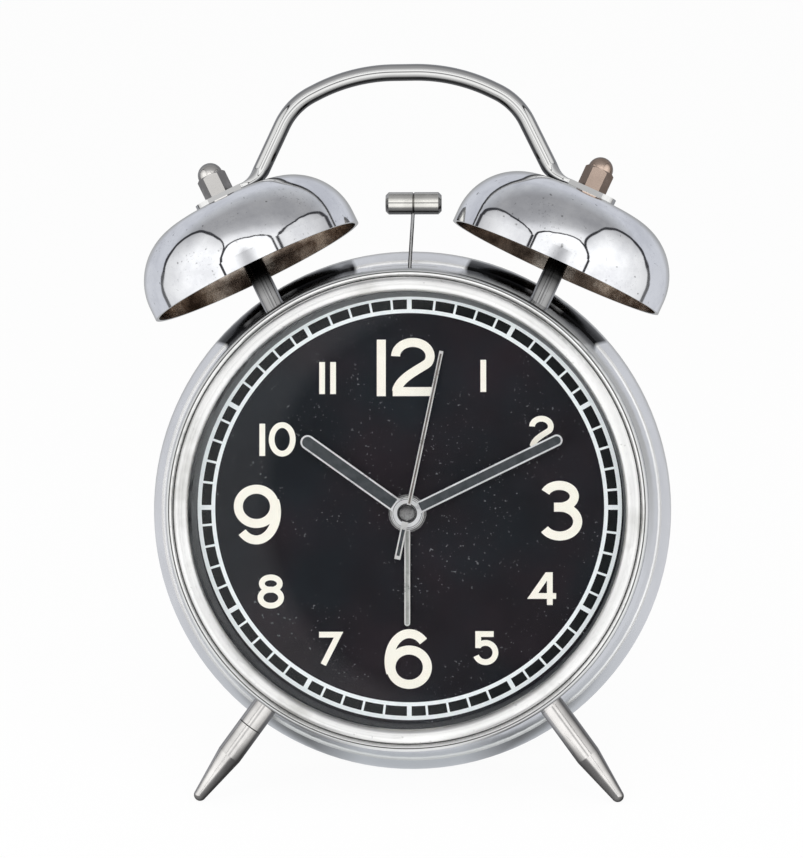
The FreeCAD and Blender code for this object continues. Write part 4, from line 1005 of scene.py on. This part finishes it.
# Painted shade: a dark ring laid in the bottom of the bezel's groove
GROOVE_RADIUS = 51.6
GROOVE_WIDTH = 0.34
GROOVE_DEPTHS = (0.6, 0.74)
groove = loop((0, 0), (GROOVE_RADIUS, GROOVE_RADIUS), RING_STEPS)
points, faces = ribbon(groove, GROOVE_WIDTH, *GROOVE_DEPTHS, True)
mesh_piece("bezel_groove_painted_shade", points, faces, "base", shaded)

# The hammer's return spring: a leaf held at its foot, left without a body
LEAF_THICKNESS = 0.25
LEAF_DEPTHS = (15.5, 18.5)
LEAF_FOOT = (-5.05, 27.325)
LEAF_X = -1.925
LEAF_TOP = 33.35
LEAF_MIDDLE = 31.0
LEAF_BEND = (27.5, 28.5)
BEND_STEPS = 12
BEND_STEP = 0.1
leaf_path = [LEAF_FOOT, (LEAF_X, LEAF_FOOT[1])]
leaf_path += [(LEAF_X, LEAF_BEND[0] + BEND_STEP * k) for k in range(BEND_STEPS)]
leaf_path += [(LEAF_X, LEAF_MIDDLE), (LEAF_X, LEAF_TOP)]
points, faces = ribbon(leaf_path, LEAF_THICKNESS, *LEAF_DEPTHS)
leaf = mesh_piece("hammer_leaf", points, faces, None, materials["hidden_steel"])
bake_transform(leaf)
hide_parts("hammer_spring")

# A dark ring of painted shade in the groove round the left foot
FOOT_SHADE_PLACE = (-35.479, 14.0, -48.476)
FOOT_SHADE_RADII = (2.6, 2.79)
FOOT_SHADE_HALF = 0.12
SIDES = 64
points = []
foot_line = Vector((-math.sin(FOOT_LEAN), 0, -math.cos(FOOT_LEAN)))
foot_across = Vector((math.cos(FOOT_LEAN), 0, -math.sin(FOOT_LEAN)))
for radius in FOOT_SHADE_RADII:
    for shift in (-FOOT_SHADE_HALF, FOOT_SHADE_HALF):
        for k in range(SIDES):
            turn = 2 * math.pi * k / SIDES
            spoke = foot_across * math.cos(turn) + Vector((0, 1, 0)) * math.sin(turn)
            points.append(Vector(FOOT_SHADE_PLACE) + foot_line * shift + spoke * radius)
faces = []
for first, second in ((0, 1), (1, 3), (3, 2), (2, 0)):
    for k in range(SIDES):
        n = (k + 1) % SIDES
        here, there = first * SIDES, second * SIDES
        faces.append((here + k, here + n, there + n, there + k))
mesh_piece("left_foot_groove_painted_shade", points, faces, "base", shaded)


# Floor, studio light and camera

FLOOR_GLOW = 0.94
FLOOR_MIRRORED = 0.9
FLOOR_PAINTED_SHADOW = (0.10, 0.10, 0.105)
# A painted shadow on the floor under the clock, which only chrome sees: each fades out from its first value on
UNDER_PLACE = (0.0, -0.01, 0.0)
UNDER_RADII = (0.045, 0.10)
UNDER_FRONT = (-0.045, -0.065)
UNDER_BACK = (-0.002, 0.012)
UNDER_SIDES = (0.03, 0.012)
BELL_PLACE = (0.0, 0.0, 0.13)
SKY_LEVEL = 0.66
TENT_HALF_WIDTH = 0.53
TENT_HEIGHT = 0.51
TENT_REAR = 0.28
TENT_ROUNDING = 3.6
SEAM_WIDTH = 0.035
SEAM_EDGE = 0.025
TENT_WALL = (1.15, 1.15, 1.15)
TENT_WALL_SHADE = (0.36, 0.36, 0.37)
TENT_SEAM = (0.045, 0.045, 0.05)
TENT_ROOF = (
    (0.0, (1.0, 1.0, 1.0)),
    (0.17, (0.85, 0.85, 0.86)),
    (0.33, (0.50, 0.50, 0.51)),
    (0.5, (0.36, 0.36, 0.37)),
    (0.67, (0.36, 0.36, 0.37)),
    (0.78, (0.50, 0.51, 0.53)),
    (0.9, (0.61, 0.625, 0.67)),
)
REAR_DARK = (0.38, 0.385, 0.39)
ROOM_DARK = (0.08, 0.08, 0.085)
ROOM_GREY = (0.44, 0.44, 0.45)
ROOM_AZIMUTH = -1.0
ROOM_HEIGHT = 0.1
ROOM_RADIUS = 3.2
ROOM_HALO = 13.0
ROOM_EDGE = 0.3
NEARLY_NONE = 0.001


def light_tent(tree, direction):
    """What chrome mirrors: white panels with dark seams, a shaded roof, a pale back, the room."""

    def part(axis):
        return vector_node(tree, "DOT_PRODUCT", direction, axis)

    def at_least(value, least=NEARLY_NONE):
        return math_node(tree, "MAXIMUM", value, least)

    def rounded(*ratios):
        """How near a direction is to a panel's rounded outline: 1 on it, less inside."""
        powers = [math_node(tree, "POWER", ratio, TENT_ROUNDING) for ratio in ratios]
        total = powers[0]
        for power in powers[1:]:
            total = math_node(tree, "ADD", total, power)
        return math_node(tree, "POWER", total, 1 / TENT_ROUNDING)

    def over(backdrop, near_outline, panel):
        """A panel with its dark seam laid over a backdrop."""
        seam = falling(tree, near_outline, 1.0 + SEAM_WIDTH, 1.0 + SEAM_WIDTH + SEAM_EDGE)
        inside = falling(tree, near_outline, 1.0 - SEAM_WIDTH - SEAM_EDGE, 1.0 - SEAM_WIDTH)
        return mixed(tree, inside, mixed(tree, seam, backdrop, TENT_SEAM), panel)

    sideways = at_least(math_node(tree, "ABSOLUTE", part(across)))
    rearward = part(depth)
    above = at_least(part(upward))
    front = at_least(math_node(tree, "MULTIPLY", rearward, -1.0))

    leaning = math_node(tree, "DIVIDE", rearward, above)
    backdrop = ramp(tree, rising(tree, leaning, -2.0, 1.0), *TENT_ROOF)
    backdrop = mixed(tree, rising(tree, rearward, 0.8, 0.95), backdrop, REAR_DARK)

    raised = math_node(tree, "MULTIPLY", above, TENT_HALF_WIDTH / TENT_HEIGHT)
    side_top = math_node(tree, "DIVIDE", raised, sideways)
    forward = math_node(tree, "MULTIPLY", front, TENT_HALF_WIDTH)
    side_front = math_node(tree, "DIVIDE", forward, sideways)
    behind = math_node(tree, "DIVIDE", rearward, sideways)
    side_rear = at_least(math_node(tree, "ADD", behind, 1.0 - TENT_REAR), 0.0)
    shade = math_node(
        tree,
        "ADD",
        spread(tree, behind, 0.0, 0.55, -0.5, 0.25),
        spread(tree, side_top, 0.0, 0.6, 0.25, 1.0),
        clamp=True,
    )
    wall = mixed(tree, shade, TENT_WALL, TENT_WALL_SHADE)
    backdrop = over(backdrop, rounded(side_top, side_front, side_rear), wall)

    room_x = math.sin(math.radians(ROOM_AZIMUTH))
    room_z = math.sin(math.radians(ROOM_HEIGHT))
    toward = Vector((room_x, -1, room_z)).normalized()
    facing = part(across * toward.x + depth * toward.y + upward * toward.z)
    turned = math_node(tree, "DEGREES", math_node(tree, "ARCCOSINE", facing))
    card = mixed(tree, rising(tree, turned, ROOM_RADIUS, ROOM_HALO), ROOM_GREY, TENT_WALL)
    room = falling(tree, turned, ROOM_RADIUS, ROOM_RADIUS + ROOM_EDGE)
    card = mixed(tree, room, card, ROOM_DARK)
    front_side = math_node(tree, "DIVIDE", sideways, forward)
    front_top = math_node(tree, "DIVIDE", above, math_node(tree, "MULTIPLY", front, TENT_HEIGHT))
    return over(backdrop, rounded(front_side, front_top), card)


def floor_white(name):
    """White to the camera, lit by the lamps, and where chrome mirrors it the light tent with a painted shadow
    under the clock.
    """
    material, tree, shader = new_material(name)
    shader.inputs["Base Color"].default_value = (0.95, 0.95, 0.95, 1)
    shader.inputs["Roughness"].default_value = 0.9
    shader.inputs["Specular IOR Level"].default_value = 0.0
    rays = tree.nodes.new("ShaderNodeLightPath").outputs
    spot = tree.nodes.new("ShaderNodeSeparateXYZ")
    link(tree, object_place(tree), spot.inputs[0])
    from_middle = vector_node(tree, "DISTANCE", object_place(tree), UNDER_PLACE)
    shown = [rising(tree, from_middle, *UNDER_RADII)]
    shown += [rising(tree, spot.outputs["Y"], *ends) for ends in (UNDER_FRONT, UNDER_BACK)]
    shown.append(rising(tree, math_node(tree, "ABSOLUTE", spot.outputs["X"]), *UNDER_SIDES))
    under = shown[0]
    for other in shown[1:]:
        under = math_node(tree, "MAXIMUM", under, other)
    outward = vector_node(tree, "NORMALIZE", away_from(tree, BELL_PLACE))
    # Painted shadow under the clock, mixed into what chrome sees of the floor
    mirrored = mixed(tree, under, FLOOR_PAINTED_SHADOW, light_tent(tree, outward))
    glow = tree.nodes.new("ShaderNodeEmission")
    colour = mixed(tree, rays["Is Glossy Ray"], WHITE, mirrored)
    link(tree, colour, glow.inputs["Color"])
    seen = math_node(tree, "MAXIMUM", rays["Is Camera Ray"], rays["Is Transmission Ray"])
    seen = math_node(tree, "MULTIPLY", seen, FLOOR_GLOW)
    reflected = math_node(tree, "MULTIPLY", rays["Is Glossy Ray"], FLOOR_MIRRORED)
    share = math_node(tree, "MAXIMUM", seen, reflected)
    mixed_surface(tree, share, shader.outputs["BSDF"], glow.outputs["Emission"])
    return material


FLOOR = 6.0
floor_mesh = bpy.data.meshes.new("floor")
floor_corners = [(-FLOOR, -FLOOR, 0), (FLOOR, -FLOOR, 0), (FLOOR, FLOOR, 0), (-FLOOR, FLOOR, 0)]
floor_mesh.from_pydata(floor_corners, [], [(0, 1, 2, 3)])
floor_mesh.materials.append(floor_white("floor_white"))
floor = bpy.data.objects.new("floor", floor_mesh)
bpy.context.scene.collection.objects.link(floor)
floor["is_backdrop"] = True

world = bpy.data.worlds.new("studio")
bpy.context.scene.world = world
world.use_nodes = True
tree = world.node_tree
rays = tree.nodes.new("ShaderNodeLightPath").outputs
mirrored = math_node(tree, "MAXIMUM", rays["Is Glossy Ray"], rays["Is Transmission Ray"])
level = math_node(tree, "MULTIPLY_ADD", rays["Is Camera Ray"], 1.0 - SKY_LEVEL, SKY_LEVEL)
plain = tree.nodes.new("ShaderNodeCombineColor")
for channel in plain.inputs:
    link(tree, level, channel)
sky = light_tent(tree, tree.nodes.new("ShaderNodeTexCoord").outputs["Generated"])
sky = mixed(tree, mirrored, plain.outputs["Color"], sky)
link(tree, sky, tree.nodes["Background"].inputs["Color"])

LAMP_AIM = (0, 10, 20)


def lamp(name, at, size, power):
    data = bpy.data.lights.new(name, "AREA")
    data.shape = "RECTANGLE"
    data.size, data.size_y = size
    data.energy = power
    obj = bpy.data.objects.new(name, data)
    bpy.context.scene.collection.objects.link(obj)
    obj.location = place(*at)
    obj.rotation_mode = "QUATERNION"
    obj.rotation_quaternion = (place(*LAMP_AIM) - obj.location).to_track_quat("-Z", "Y")
    obj.visible_glossy = False
    obj.visible_transmission = False


# Place in the dial's frame, width and height in metres, watts
LAMPS = {
    "left_softbox": ((-600, -850, 250), (0.5, 0.7), 2.3),
    "right_softbox": ((600, -850, 200), (0.5, 0.7), 1.8),
    "top_softbox": ((0, -800, 500), (0.9, 0.6), 2.2),
    "front_softbox": ((0, -850, 50), (0.5, 0.16), 2.4),
}
for name, values in LAMPS.items():
    lamp(name, *values)

# The camera looks along the dial's axis but for a small yaw, its picture shifted by a turn
YAW = math.radians(2.0)
DISTANCE = 760.0
DISTANCE_FROM = Vector((0, 1, 0))
DIAL_RADIUS = 48.4
DIAL_RADIUS_PIXELS = 219.4
FOCAL_PIXELS = DIAL_RADIUS_PIXELS / DIAL_RADIUS * DISTANCE
WIDTH, HEIGHT = 803, 858
AXIS_PIXEL = (406.4, 509.8)

camera_data = bpy.data.cameras.new("camera")
camera = bpy.data.objects.new("camera", camera_data)
bpy.context.scene.collection.objects.link(camera)
bpy.context.scene.camera = camera
camera_data.sensor_width = 36.0
camera_data.lens = FOCAL_PIXELS / HEIGHT * camera_data.sensor_width
camera_data.clip_start = 0.01
camera_data.clip_end = 50.0
back = Vector((math.sin(YAW), -math.cos(YAW), 0))
camera_place = DISTANCE_FROM + back * DISTANCE
right = Vector((math.cos(YAW), math.sin(YAW), 0))
view_up = Vector((0, 0, 1))
turn_right = (WIDTH / 2 - AXIS_PIXEL[0]) / FOCAL_PIXELS
turn_up = (AXIS_PIXEL[1] - HEIGHT / 2) / FOCAL_PIXELS
aim = (-back + right * turn_right + view_up * turn_up).normalized()
aim_right = aim.cross(view_up).normalized()
aim_up = aim_right.cross(aim)
turn = Matrix([DIAL.to_3x3() @ axis for axis in (aim_right, aim_up, -aim)]).transposed()
camera.matrix_world = Matrix.Translation(place(*camera_place)) @ turn.to_4x4()

bpy.context.scene.view_settings.view_transform = "Standard"

low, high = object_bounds()
